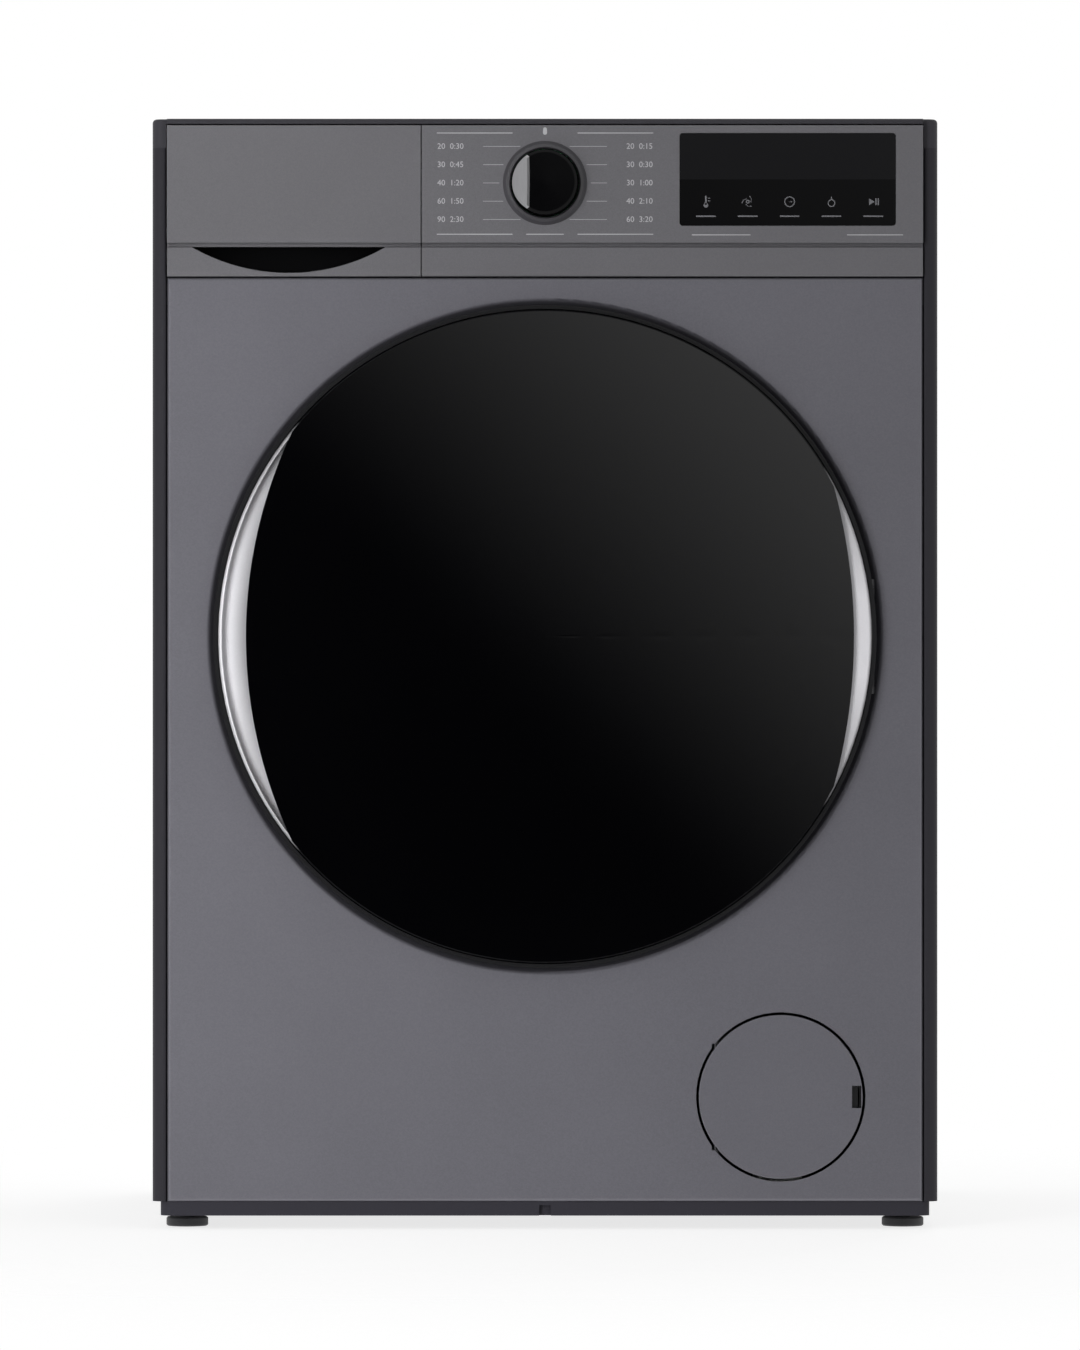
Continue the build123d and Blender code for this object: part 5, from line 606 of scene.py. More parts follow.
def modify(obj, kind, **settings):
    """Adds a modifier with its settings and applies it."""
    select_only(obj)
    modifier = obj.modifiers.new(kind.title(), kind)
    for key, value in settings.items():
        setattr(modifier, key, value)
    bpy.ops.object.modifier_apply(modifier=modifier.name)


def edit(obj):
    """Enters edit mode on one object, with all of its mesh selected."""
    select_only(obj)
    bpy.ops.object.mode_set(mode="EDIT")
    bpy.ops.mesh.select_all(action="SELECT")


def end_edit():
    bpy.ops.object.mode_set(mode="OBJECT")


def pick(obj, test):
    """In edit mode, selects the vertices that a test accepts."""
    bpy.ops.mesh.select_all(action="DESELECT")
    bpy.ops.mesh.select_mode(type="VERT")
    mesh = bmesh.from_edit_mesh(obj.data)
    for vertex in mesh.verts:
        vertex.select = test(vertex)
    mesh.select_flush(True)
    bmesh.update_edit_mesh(obj.data)


def pick_faces(obj, test):
    """In edit mode, selects the faces that a test on their normal accepts."""
    mesh = bmesh.from_edit_mesh(obj.data)
    for face in mesh.faces:
        face.select = test(face.normal)
    bmesh.update_edit_mesh(obj.data)


def joined(objects, name):
    """Joins objects into one mesh under a new name."""
    clear_selection()
    for obj in objects:
        obj.select_set(True)
    bpy.context.view_layer.objects.active = objects[0]
    if len(objects) > 1:
        bpy.ops.object.join()
    piece = bpy.context.view_layer.objects.active
    piece.name = name
    piece.data.name = name
    return piece


DOUBLED = 0.01 * MM


def tidy_normals(obj):
    """Merges doubled vertices and turns the faces outwards."""
    edit(obj)
    bpy.ops.mesh.remove_doubles(threshold=DOUBLED)
    bpy.ops.mesh.normals_make_consistent(inside=False)
    end_edit()


def smooth(obj, degrees=40):
    select_only(obj)
    bpy.ops.object.shade_smooth_by_angle(angle=math.radians(degrees))


def dressed(obj, material, body=None):
    """Gives a piece its finish and slot, and a body to ride on."""
    obj.data.materials.clear()
    obj.data.materials.append(material)
    if body:
        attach(obj, body)
    return obj


def placed(obj, place, name):
    """Moves a piece from the origin to its place and names it."""
    obj.location = place
    obj.name = name
    obj.data.name = name
    settle(obj)
    return obj


def block(size, place, turn=(0, 0, 0)):
    """A box of a given size at its place."""
    clear_selection()
    bpy.ops.mesh.primitive_cube_add(size=1, location=place, rotation=turn)
    obj = bpy.context.object
    obj.scale = size
    settle(obj)
    return obj


def round_bar(radius, depth, place, sides, turn=FRONT):
    """A cylinder at its place, along the machine's depth unless it is turned."""
    clear_selection()
    bpy.ops.mesh.primitive_cylinder_add(
        vertices=sides, radius=radius, depth=depth, location=place, rotation=turn
    )
    obj = bpy.context.object
    settle(obj)
    return obj


def cut(obj, tool):
    """Takes a tool's shape out of a piece and removes the tool."""
    modify(obj, "BOOLEAN", object=tool, operation="DIFFERENCE", solver="EXACT")
    bpy.data.objects.remove(tool)


def spun(profile, steps, axis="Y"):
    """Draws a closed profile point by point from one vertex and spins it round an axis."""
    along = (lambda p: Vector((p[0], p[1], 0))) if axis == "Y" else (lambda p: Vector((p[0], 0, p[1])))
    points = [along(p) for p in profile]
    clear_selection()
    bpy.ops.mesh.primitive_plane_add(size=MM, location=(0, 0, 0))
    obj = bpy.context.object
    edit(obj)
    bpy.ops.mesh.select_mode(type="VERT")
    bpy.ops.mesh.merge(type="CENTER")
    bpy.ops.transform.translate(value=points[0])
    for start, end in zip(points, points[1:] + points[:1]):
        bpy.ops.mesh.extrude_region_move(TRANSFORM_OT_translate={"value": end - start})
    bpy.ops.mesh.select_all(action="SELECT")
    bpy.ops.mesh.remove_doubles(threshold=DOUBLED)
    bpy.ops.mesh.spin(steps=steps, angle=math.tau, center=(0, 0, 0), axis=along((0, 1)))
    end_edit()
    tidy_normals(obj)
    smooth(obj)
    return obj


def wound(sides, wire, reach, steps, turn=FRONT, **winding):
    """Winds a wire's section about the upright axis; its two ends stay open."""
    clear_selection()
    bpy.ops.mesh.primitive_circle_add(vertices=sides, radius=wire, location=(reach, 0, 0), rotation=turn)
    obj = bpy.context.object
    settle(obj)
    modify(obj, "SCREW", axis="Z", steps=steps, render_steps=steps, **winding)
    return obj


def close_ends(obj, ears=None):
    """Fills the two ends of a wound wire, drawn out to ears first where they are given."""
    edit(obj)
    if ears:
        bpy.ops.mesh.select_all(action="DESELECT")
        bpy.ops.mesh.select_non_manifold()
        bpy.ops.mesh.extrude_region_move(TRANSFORM_OT_translate={"value": ears})
    bpy.ops.mesh.fill_holes(sides=0)
    end_edit()
    tidy_normals(obj)


def soft_wall(path, wall):
    """The closed section of a soft wall along a rounded path of two-dimensional points."""
    points = [Vector(p) for p in path]
    for _ in range(2):
        cut_corners = [points[0]]
        for start, end in zip(points, points[1:]):
            cut_corners += [start.lerp(end, 0.25), start.lerp(end, 0.75)]
        points = cut_corners + [points[-1]]
    outer = []
    inner = []
    for i, point in enumerate(points):
        run = points[min(i + 1, len(points) - 1)] - points[max(i - 1, 0)]
        across = Vector((-run.y, run.x)).normalized() * wall / 2
        outer.append(point + across)
        inner.append(point - across)
    return outer + inner[::-1]


def flat_disc(centre, radius, sides=24, turn=0.0):
    """A filled circle, or a polygon of a few sides, in the drawing plane."""
    clear_selection()
    bpy.ops.mesh.primitive_circle_add(
        vertices=sides, radius=radius, fill_type="NGON", location=(*centre, 0), rotation=(0, 0, turn)
    )
    obj = bpy.context.object
    settle(obj)
    return obj


def hollowed(obj, width):
    """Insets a flat shape and takes its middle out, which leaves an outline."""
    edit(obj)
    bpy.ops.mesh.inset(thickness=width)
    bpy.ops.mesh.delete(type="FACE")
    end_edit()
    return obj


def flat_ring(centre, radius, width, sides=32):
    """A ring in the drawing plane."""
    return hollowed(flat_disc(centre, radius, sides), width)


def flat_stroke(start, end, width):
    """A line with round ends: a circle whose far half is drawn out."""
    start = Vector(start)
    run = Vector(end) - start
    obj = flat_disc((0, 0), width / 2, 12)
    edit(obj)
    pick(obj, lambda vertex: vertex.co.x > width * 0.05)
    bpy.ops.transform.translate(value=(run.length, 0, 0))
    end_edit()
    obj.rotation_euler.z = math.atan2(run.y, run.x)
    obj.location = (*start, 0)
    settle(obj)
    return obj


FONT_PER_NUMERAL = 1.4


def flat_text(words, height, centre, align="CENTER"):
    """Plain numbers of a given height in the drawing plane."""
    clear_selection()
    bpy.ops.object.text_add(location=(0, 0, 0))
    obj = bpy.context.object
    obj.data.body = words
    obj.data.size = height * FONT_PER_NUMERAL
    obj.data.align_x = align
    obj.data.align_y = "CENTER"
    obj.data.resolution_u = 3
    bpy.ops.object.convert(target="MESH")
    obj = bpy.context.object
    obj.location = (*centre, 0)
    settle(obj)
    return obj


def stood_up(shapes, name, place, turn=FRONT):
    """Joins flat shapes, gives them the ink's thickness and stands them on a face."""
    sign = joined(shapes, name)
    tidy_normals(sign)
    modify(sign, "SOLIDIFY", thickness=sizes().ink, offset=1.0)
    sign.rotation_euler = turn
    return placed(sign, place, name)


# Turned solids that mirror the studio, each with the angle in degrees from which an edge stays sharp.
TURNED_CORNERS = {
    "door_cover": 25,
    "door_frame": 25,
    "door_glass": 25,
    "drum_shell": 60,
    "programme_dial": 25,
    "dial_bezel": 25,
}


def even_out(obj, corner):
    """Closes the seam in a turned solid's shading, and keeps corners sharper than an angle in degrees."""
    obj.modifiers.new("Close seam", "WELD").merge_threshold = DOUBLED
    obj.modifiers.new("Keep corners", "EDGE_SPLIT").split_angle = math.radians(corner)
    obj.modifiers.new("Even shading", "WEIGHTED_NORMAL").keep_sharp = True


class WASHER_OT_finishes(bpy.types.Operator):
    """Give every solid the finish of its real material"""

    bl_idname = "washer.finishes"
    bl_label = "Finishes"

    def execute(self, context):
        for make, nodes in FINISHES.items():
            material = make()
            for name in nodes:
                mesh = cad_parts[name].data
                mesh.materials.clear()
                mesh.materials.append(material)
        for name, corner in TURNED_CORNERS.items():
            even_out(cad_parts[name], corner)
        return {"FINISHED"}


PROGRAMMES_LEFT = ["20  0:30", "30  0:45", "40  1:20", "60  1:50", "90  2:30"]
PROGRAMMES_RIGHT = ["20  0:15", "30  0:30", "30  1:00", "40  2:10", "60  3:20"]
LABEL_REACH = 82 * MM
LEADER_REACH = 47 * MM
LEADER_GAP = 3 * MM
POINTER_WIDE = 3.2 * MM
POINTER = (38.2 * MM, 40.6 * MM)
# Printed rules above and below the labels on either side, then those under the dial and the display: start,
# end and height from the dial's axis, in millimetres.
SIDE_RULES = [(25, 82, 38), (25, 82, -39)]
LOWER_RULES = [(-14, 14, -39), (112, 156, -39.5), (230, 272, -39.5)]


class WASHER_OT_programme_marks(bpy.types.Operator):
    """Print the numbers, leader lines and rules round the programme dial"""

    bl_idname = "washer.programme_marks"
    bl_label = "Programme Marks"

    def execute(self, context):
        size = sizes()
        ring = (BEZEL_HIGH.x - BEZEL_LOW.x) / 2
        shapes = [flat_stroke((0, POINTER[0]), (0, POINTER[1]), POINTER_WIDE)]

        def rule(side, start, end, z):
            shapes.append(flat_stroke((side * start * MM, z * MM), (side * end * MM, z * MM), size.rule))

        for side, align, labels in ((-1, "LEFT", PROGRAMMES_LEFT), (1, "RIGHT", PROGRAMMES_RIGHT)):
            for i, words in enumerate(labels):
                z = (2 - i) * size.row_pitch
                shapes.append(flat_text(words, size.numeral, (side * LABEL_REACH, z), align))
                edge = math.sqrt(max(ring**2 - z**2, 0)) + LEADER_GAP
                shapes.append(flat_stroke((side * edge, z), (side * LEADER_REACH, z), size.rule / 2))
            for row in SIDE_RULES:
                rule(side, *row)
        for row in LOWER_RULES:
            rule(1, *row)
        marks = stood_up(shapes, "programme_marks", (0, FASCIA_LOW.y, DIAL_Z))
        dressed(marks, printing_ink(), "cabinet")
        return {"FINISHED"}


def temperature_sign(x, z, tall):
    """A thermometer with two marks. As in all the signs, its sizes are shares of the sign's height."""
    shapes = [
        flat_stroke((x, z - tall * 0.2), (x, z + tall * 0.42), tall * 0.16),
        flat_disc((x, z - tall * 0.3), tall * 0.2),
    ]
    for level in (0.3, 0.08):
        y = z + tall * level
        shapes.append(flat_stroke((x + tall * 0.2, y), (x + tall * 0.34, y), tall * 0.07))
    return shapes


def spin_sign(x, z, tall):
    """A ring with three arms that each open outwards in four strokes."""
    shapes = [flat_ring((x, z), tall * 0.16, tall * 0.08)]

    def point(angle, share):
        return x + tall * share * math.cos(angle), z + tall * share * math.sin(angle)

    for i in range(3):
        for j in range(4):
            angle = math.tau * i / 3 + j * 0.3
            share = 0.26 + 0.055 * j
            shapes.append(flat_stroke(point(angle, share), point(angle + 0.3, share + 0.055), tall * 0.08))
    return shapes


def clock_sign(x, z, tall):
    """A ring with two hands."""
    return [
        flat_ring((x, z), tall * 0.45, tall * 0.08),
        flat_stroke((x, z), (x, z + tall * 0.28), tall * 0.08),
        flat_stroke((x, z), (x + tall * 0.2, z), tall * 0.08),
    ]


def drop_sign(x, z, tall):
    """A circle with its top drawn up to a point, then inset to a line."""
    low = z - tall * 0.12
    obj = flat_disc((x, low), tall * 0.32, 24)
    edit(obj)
    pick(obj, lambda vertex: vertex.co.y > low + tall * 0.315)
    bpy.ops.transform.translate(value=(0, tall * 0.3, 0))
    end_edit()
    return [hollowed(obj, tall * 0.08)]


def start_sign(x, z, tall):
    """A triangle and two bars."""
    shapes = [flat_disc((x - tall * 0.2, z), tall * 0.32, 3, -math.pi / 2)]
    for shift in (0.22, 0.42):
        bar = x + tall * shift
        shapes.append(flat_stroke((bar, z - tall * 0.24), (bar, z + tall * 0.24), tall * 0.11))
    return shapes


KEY_SIGNS = [temperature_sign, spin_sign, clock_sign, drop_sign, start_sign]


class WASHER_OT_key_signs(bpy.types.Operator):
    """Print the five touch keys' signs on the display window"""

    bl_idname = "washer.key_signs"
    bl_label = "Touch Key Signs"

    def execute(self, context):
        margin = 3 * MM
        keys_across = 5.15
        pitch = (WINDOW_HIGH.x - WINDOW_LOW.x - 2 * margin) / keys_across
        first = WINDOW_LOW.x + margin + 0.62 * pitch
        row = WINDOW_LOW.z + 8 * MM
        sign_level = 13 * MM
        line_level = 2 * MM
        half_line = 7 * MM
        line = 1.1 * MM
        shapes = []
        for i, draw in enumerate(KEY_SIGNS):
            x = first + i * pitch
            shapes += draw(x, sign_level, sizes().key_sign)
            shapes.append(flat_stroke((x - half_line, line_level), (x + half_line, line_level), line))
        signs = stood_up(shapes, "touch_key_signs", (0, WINDOW_LOW.y, row))
        dressed(signs, key_ink(), "cabinet")
        return {"FINISHED"}


class WASHER_OT_edge_seals(bpy.types.Operator):
    """Stick a foam strip behind the gap on either side of the front panel"""

    bl_idname = "washer.edge_seals"
    bl_label = "Edge Seals"

    def execute(self, context):
        size = (5 * MM, 4 * MM, PANEL_HIGH.z - PANEL_LOW.z - 6 * MM)
        inwards = 0.9985
        depth = PANEL_Y + 17.2 * MM
        strips = []
        for x in (PANEL_LOW.x, PANEL_HIGH.x):
            strip = block(size, (x * inwards, depth, (PANEL_LOW.z + PANEL_HIGH.z) / 2))
            modify(strip, "BEVEL", width=0.8 * MM, segments=2)
            strips.append(strip)
        dressed(joined(strips, "edge_seals"), black_rubber(), "cabinet")
        return {"FINISHED"}


class WASHER_OT_flap_covers(bpy.types.Operator):
    """Close the panel over the two hinge lugs of the service flap"""

    bl_idname = "washer.flap_covers"
    bl_label = "Flap Hinge Covers"

    def execute(self, context):
        low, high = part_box("filter_flap")
        x = (low.x + high.x) / 2
        z = (low.z + high.z) / 2
        hole = (high.x - low.x) / 2 + 2.0 * MM
        pivot = 50 * MM
        # Nearer to the middle than this, a cover would be in the way of the open flap.
        swing = math.sqrt(hole**2 - pivot**2) - 0.1 * MM
        wide, thick, tall = 4.96 * MM, 0.27 * MM, 4.1 * MM
        covers = []
        for side in (-1, 1):
            place = (x - pivot, PANEL_Y + 0.14 * MM, z + side * (swing + tall / 2))
            cover = block((wide, thick, tall), place)
            cut(cover, round_bar(hole, 8 * MM, (x, PANEL_Y, z), 192))
            covers.append(cover)
        dressed(joined(covers, "flap_hinge_covers"), graphite_paint(), "cabinet")
        return {"FINISHED"}


class WASHER_OT_gasket(bpy.types.Operator):
    """Mould the bellows gasket between the door's mouth and the tub"""

    bl_idname = "washer.gasket"
    bl_label = "Door Gasket"

    def execute(self, context):
        front = GASKET_LOW.y
        outer = GASKET_HIGH.x
        wall = 3.0 * MM
        half = wall / 2
        # Radius and depth of the wall's middle, in millimetres, from the mouth to the tub.
        path = [
            (171.0, half / MM),
            (159.5, half / MM),
            (148.7, 11.5),
            (148.7, 27.0),
            (158.0, 34.0),
            (176.0, 34.5),
            (outer / MM - 2.0, 38.5),
            (outer / MM - 1.6, 47.0),
            (182.0, 51.0),
            (175.0, 56.0),
            (174.0, 62.0),
            (174.0, 77.0),
        ]
        bellows = spun(soft_wall([(r * MM, d * MM) for r, d in path], wall), 96)
        placed(bellows, (0, front, AXIS_Z), "gasket_bellows")
        dressed(bellows, grey_rubber())
        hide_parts("door_gasket")
        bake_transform(bellows)
        wire = 1.0 * MM
        seat = 172.4 * MM
        angles = [math.tau * i / 10 for i in range(10)]
        clamp = spun([(seat + wire * math.cos(angle), wire * math.sin(angle)) for angle in angles], 128)
        placed(clamp, (0, front + 1.8 * MM, AXIS_Z), "gasket_clamp_wire")
        dressed(clamp, zinc_plate(), "cabinet")
        return {"FINISHED"}


def corrugated(node, name):
    """A rubber hose in place of a node: smooth cuffs at both ends and round ribs between them."""
    low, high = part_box(node)
    tall = high.z - low.z
    cuff = 10 * MM
    rib = 3 * MM
    wall = 2.4 * MM
    bore = (high.x - low.x) / 2 - rib - wall
    radius = bore + wall
    waves = round((tall - 2 * cuff) / (8 * MM))
    steps = 8 * waves
    outside = [(radius, 0.0)]
    for i in range(steps + 1):
        level = (1 - math.cos(math.tau * waves * i / steps)) / 2
        outside.append((radius + rib * level, cuff + (tall - 2 * cuff) * i / steps))
    outside.append((radius, tall))
    hose = spun(outside + [(bore, tall), (bore, 0.0)], 48, "Z")
    placed(hose, ((low.x + high.x) / 2, (low.y + high.y) / 2, low.z), name)
    dressed(hose, black_rubber())
    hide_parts(node)
    return hose, radius


def hose_clip(name, place, radius, body):
    """A wire clip round a hose's cuff: two turns and a pair of ears to squeeze."""
    wire = 0.9 * MM
    clip = wound(8, wire, radius + wire, 64, angle=1.9 * math.tau, screw_offset=5 * wire)
    close_ends(clip, ears=(1.6 * wire, 0, 0))
    smooth(clip)
    placed(clip, place, name)
    dressed(clip, zinc_plate(), body)


class WASHER_OT_hoses(bpy.types.Operator):
    """Mould the sump and dispenser hoses, with wire clips on their cuffs"""

    bl_idname = "washer.hoses"
    bl_label = "Hoses"

    def execute(self, context):
        for node, lower, upper in (("sump_hose", "cabinet", "tub"), ("dispenser_hose", "tub", "cabinet")):
            low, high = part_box(node)
            hose, radius = corrugated(node, node + "_ribbed")
            middle = (low + high) / 2
            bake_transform(hose)
            hose_clip(node + "_lower_clip", (middle.x, middle.y, low.z + 2 * MM), radius, lower)
            hose_clip(node + "_upper_clip", (middle.x, middle.y, high.z - 7 * MM), radius, upper)
        return {"FINISHED"}


class WASHER_OT_springs(bpy.types.Operator):
    """Wind the two hanging springs"""

    bl_idname = "washer.springs"
    bl_label = "Hanging Springs"

    def execute(self, context):
        low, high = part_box("hanging_springs")
        wire = 1.8 * MM
        mean = (high.y - low.y) / 2 - wire
        turns = sizes().spring_turns
        pitch = (high.z - low.z - 2 * wire) / turns
        steel = spring_steel()
        for side, word in ((-1, "left"), (1, "right")):
            coil = wound(10, wire, mean, 28, angle=math.tau, screw_offset=pitch, iterations=turns)
            close_ends(coil)
            smooth(coil)
            x = side * (high.x - mean - wire)
            y = (low.y + high.y) / 2
            placed(coil, (x, y, low.z + wire), "hanging_spring_" + word)
            dressed(coil, steel)
            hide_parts("hanging_springs")
            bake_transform(coil)
        return {"FINISHED"}


class WASHER_OT_belt(bpy.types.Operator):
    """Lay the ribbed belt round the drum pulley and the motor's shaft"""

    bl_idname = "washer.belt"
    bl_label = "Drive Belt"

    def execute(self, context):
        low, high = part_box("drive_belt")
        rotor_low, rotor_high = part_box("motor_rotor")
        shaft = (rotor_low + rotor_high) / 2
        wide = high.y - low.y
        middle = (low.y + high.y) / 2
        rims = [
            round_bar(high.x, wide, (0, middle, AXIS_Z), 128),
            round_bar(shaft.z - low.z, wide, (shaft.x, middle, shaft.z), 40),
        ]
        belt = joined(rims, "ribbed_belt")
        edit(belt)
        bpy.ops.mesh.convex_hull()
        pick_faces(belt, lambda normal: abs(normal.y) > 0.9)
        bpy.ops.mesh.delete(type="ONLY_FACE")
        bpy.ops.mesh.select_all(action="SELECT")
        bpy.ops.mesh.delete_loose()
        rows = 10
        thick = 4 * MM
        groove = 1.4 * MM
        for i in range(1, rows):
            bpy.ops.mesh.select_all(action="SELECT")
            level = (0, low.y + wide * i / rows, 0)
            bpy.ops.mesh.bisect(plane_co=level, plane_no=(0, 1, 0))
        end_edit()
        tidy_normals(belt)
        outside = len(belt.data.vertices)
        modify(belt, "SOLIDIFY", thickness=thick, offset=-1.0)

        def in_groove(vertex):
            return vertex.index >= outside and round((vertex.co.y - low.y) / wide * rows) % 2 == 0

        edit(belt)
        pick(belt, in_groove)
        bpy.ops.transform.shrink_fatten(value=-groove)
        end_edit()
        tidy_normals(belt)
        smooth(belt, 30)
        dressed(belt, black_rubber(), "tub")
        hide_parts("drive_belt")
        return {"FINISHED"}


def ringed(obj, count):
    """Copies a piece evenly round the depth axis by an array on a turned empty."""
    clear_selection()
    bpy.ops.object.empty_add(rotation=(0, math.tau / count, 0))
    guide = bpy.context.object
    offset = {"use_relative_offset": False, "use_object_offset": True, "offset_object": guide}
    modify(obj, "ARRAY", count=count, **offset)
    bpy.data.objects.remove(guide)


def punched(draw):
    """One hole's disc or rim at the origin, as a thin plate."""
    hole = draw((0, 0), sizes().hole, 10)
    modify(hole, "SOLIDIFY", thickness=0.25 * MM, offset=1.0)
    return hole


BACK_RINGS = (125 * MM, 147 * MM, 169 * MM, 191 * MM, 213 * MM)


class WASHER_OT_drum_holes(bpy.types.Operator):
    """Draw the rows of dished holes in the drum's wall and back: dark discs of painted shade inside stainless
    rims
    """

    bl_idname = "washer.drum_holes"
    bl_label = "Drum Holes"

    def execute(self, context):
        pitch = sizes().hole_pitch
        sheet = 1.0 * MM
        wall = DRUM_HIGH.x - sheet
        plain_ends = 44 * MM
        first_row = 26 * MM
        rows = int((DRUM_HIGH.y - DRUM_LOW.y - plain_ends) / pitch)
        columns = int(math.tau * wall / pitch)
        front = DRUM_LOW.y + first_row
        rear = DRUM_HIGH.y - sheet - front
        lengthways = {
            "use_relative_offset": False,
            "use_constant_offset": True,
            "constant_offset_displace": (0, pitch, 0),
        }
        for name, draw, material in (
            # The holes are flat dark discs: painted shade for the dark behind each hole.
            ("drum_holes", flat_disc, dark_hole()),
            ("drum_hole_rims", lambda c, r, n: flat_ring(c, r * 1.45, r * 0.5, n), stainless_steel()),
        ):
            pair = []
            for shift in (0, 0.5):
                hole = punched(draw)
                hole.location = (0, shift * pitch, -wall)
                settle(hole)
                hole.rotation_euler = (0, shift * math.tau / columns, 0)
                settle(hole)
                pair.append(hole)
            field = joined(pair, name)
            ringed(field, columns)
            modify(field, "ARRAY", count=rows, **lengthways)
            fields = [field]
            for reach in BACK_RINGS:
                hole = punched(draw)
                hole.rotation_euler = FRONT
                hole.location = (reach, rear, 0)
                settle(hole)
                ringed(hole, int(math.tau * reach / pitch))
                fields.append(hole)
            field = joined(fields, name)
            placed(field, (0, front, AXIS_Z), name)
            dressed(field, material, "drum")
        return {"FINISHED"}


def screw_heads(name, places, body):
    """Pan head screws with a cross recess, each given by its place and the way it faces."""
    radius = sizes().screw
    tall = radius * 0.42
    head = round_bar(radius, tall, (0, 0, tall / 2), 20, (0, 0, 0))
    edit(head)
    pick(head, lambda vertex: vertex.co.z > tall / 2)
    bpy.ops.mesh.bevel(offset=tall * 0.55, segments=3)
    end_edit()
    for turn in (0, math.pi / 2):
        cut(head, block((radius * 1.1, radius * 0.26, tall), (0, 0, tall), (0, 0, turn)))
    copies = []
    for place, facing in places:
        select_only(head)
        bpy.ops.object.duplicate()
        copy = bpy.context.object
        copy.rotation_euler = Vector(facing).to_track_quat("Z", "Y").to_euler()
        copy.location = place
        settle(copy)
        copies.append(copy)
    bpy.data.objects.remove(head)
    screws = joined(copies, name)
    smooth(screws, 35)
    dressed(screws, zinc_plate(), body)


# Places of the screws, in millimetres: up the rear edges, along the worktop's rear edge, round the access
# cover's flange, at the hinge bracket, at the door's lock and round the door's back ring.
REAR_EDGE = 288
REAR_LEVELS = (60, 230, 400, 570, 740)
WORKTOP_SCREW = (200, 834)
FLANGE_EDGE = 6 * MM
FLANGE_BEND = 102 * MM
HINGE_COLUMNS = (212, 232)
LOCK_COLUMN = -203
DOOR_SCREW_REACH = 200 * MM
DOOR_SCREWS = 10


class WASHER_OT_screws(bpy.types.Operator):
    """Set the screws of the rear, the worktop, the hinge, the lock and the door's back ring"""

    bl_idname = "washer.screws"
    bl_label = "Screws"

    def execute(self, context):
        back = (0, 1, 0)
        ahead = (0, -1, 0)
        cover_low, cover_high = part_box("rear_access_cover")
        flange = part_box("rear_panel")[1].y + 1.0 * MM
        corner = FLANGE_BEND - (FLANGE_BEND - FLANGE_EDGE) * math.sqrt(0.5)
        places = []
        for side in (-1, 1):
            for z in REAR_LEVELS:
                places.append(((side * REAR_EDGE * MM, REAR_Y, z * MM), back))
            places.append(((side * WORKTOP_SCREW[0] * MM, REAR_Y, WORKTOP_SCREW[1] * MM), back))
            for share in (0.35, 0.65):
                z = cover_low.z + share * (cover_high.z - cover_low.z)
                places.append(((side * (cover_high.x - FLANGE_EDGE), flange, z), back))
            for z in (cover_low.z + corner, cover_high.z - corner):
                places.append(((side * (cover_high.x - corner), flange, z), back))
        for z in (cover_low.z + FLANGE_EDGE, cover_high.z - FLANGE_EDGE):
            places.append(((0, flange, z), back))
        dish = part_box("door_lock")[0].y - 1.0 * MM
        for z in (-20, 20):
            for x in HINGE_COLUMNS:
                places.append(((x * MM, dish, AXIS_Z + z * MM), ahead))
            places.append(((LOCK_COLUMN * MM, dish, AXIS_Z + 1.2 * z * MM), ahead))
        screw_heads("cabinet_screws", places, "cabinet")
        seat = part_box("door_back_frame")[1].y
        ring = []
        for i in range(DOOR_SCREWS):
            angle = math.tau * (i + 0.5) / DOOR_SCREWS
            x = DOOR_SCREW_REACH * math.cos(angle)
            ring.append(((x, seat, AXIS_Z + DOOR_SCREW_REACH * math.sin(angle)), back))
        screw_heads("door_screws", ring, "door")
        return {"FINISHED"}


class WASHER_OT_connections(bpy.types.Operator):
    """Cut the thread of the water inlet and the barbs of the drain spigot"""

    bl_idname = "washer.connections"
    bl_label = "Rear Connections"

    def execute(self, context):
        valve_low, valve_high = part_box("inlet_valve")
        # A three-quarter inch pipe thread, as hoses for household water have it.
        pitch = 1.81 * MM
        turns = 7
        ridge = 0.75 * MM
        reach = 13.2 * MM + 0.25 * MM
        start = 14.5 * MM
        pointing_out = (math.pi / 2, math.pi / 2, 0)
        winding = {"angle": math.tau, "screw_offset": pitch, "iterations": turns}
        thread = wound(3, ridge, reach, 40, pointing_out, **winding)
        close_ends(thread)
        thread.rotation_euler = REAR
        middle = (valve_low + valve_high) / 2
        placed(thread, (middle.x, valve_high.y - start, middle.z), "inlet_thread")
        dressed(thread, white_plastic(), "cabinet")
        drain_low, drain_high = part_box("drain_outlet")
        spigot = 11 * MM
        spigot_length = 14 * MM
        spigot_drop = 18 * MM
        root = spigot - 0.4 * MM
        step = 4.4 * MM
        barb_count = 3
        profile = [(root, 0.0)]
        for i in range(barb_count):
            profile += [(spigot + 0.9 * MM, step * i + 0.6 * MM), (spigot + 0.1 * MM, step * (i + 1))]
        profile.append((root, step * barb_count))
        barbs = spun(profile, 40)
        x = (drain_low.x + drain_high.x) / 2
        placed(barbs, (x, drain_high.y - spigot_length, drain_high.z - spigot_drop), "drain_barbs")
        dressed(barbs, black_plastic(), "cabinet")
        return {"FINISHED"}


COMPARTMENT_NUMBERS = (("1", -249.6 * MM), ("2", -140.1 * MM))
SOFTENER_X = -198.6 * MM


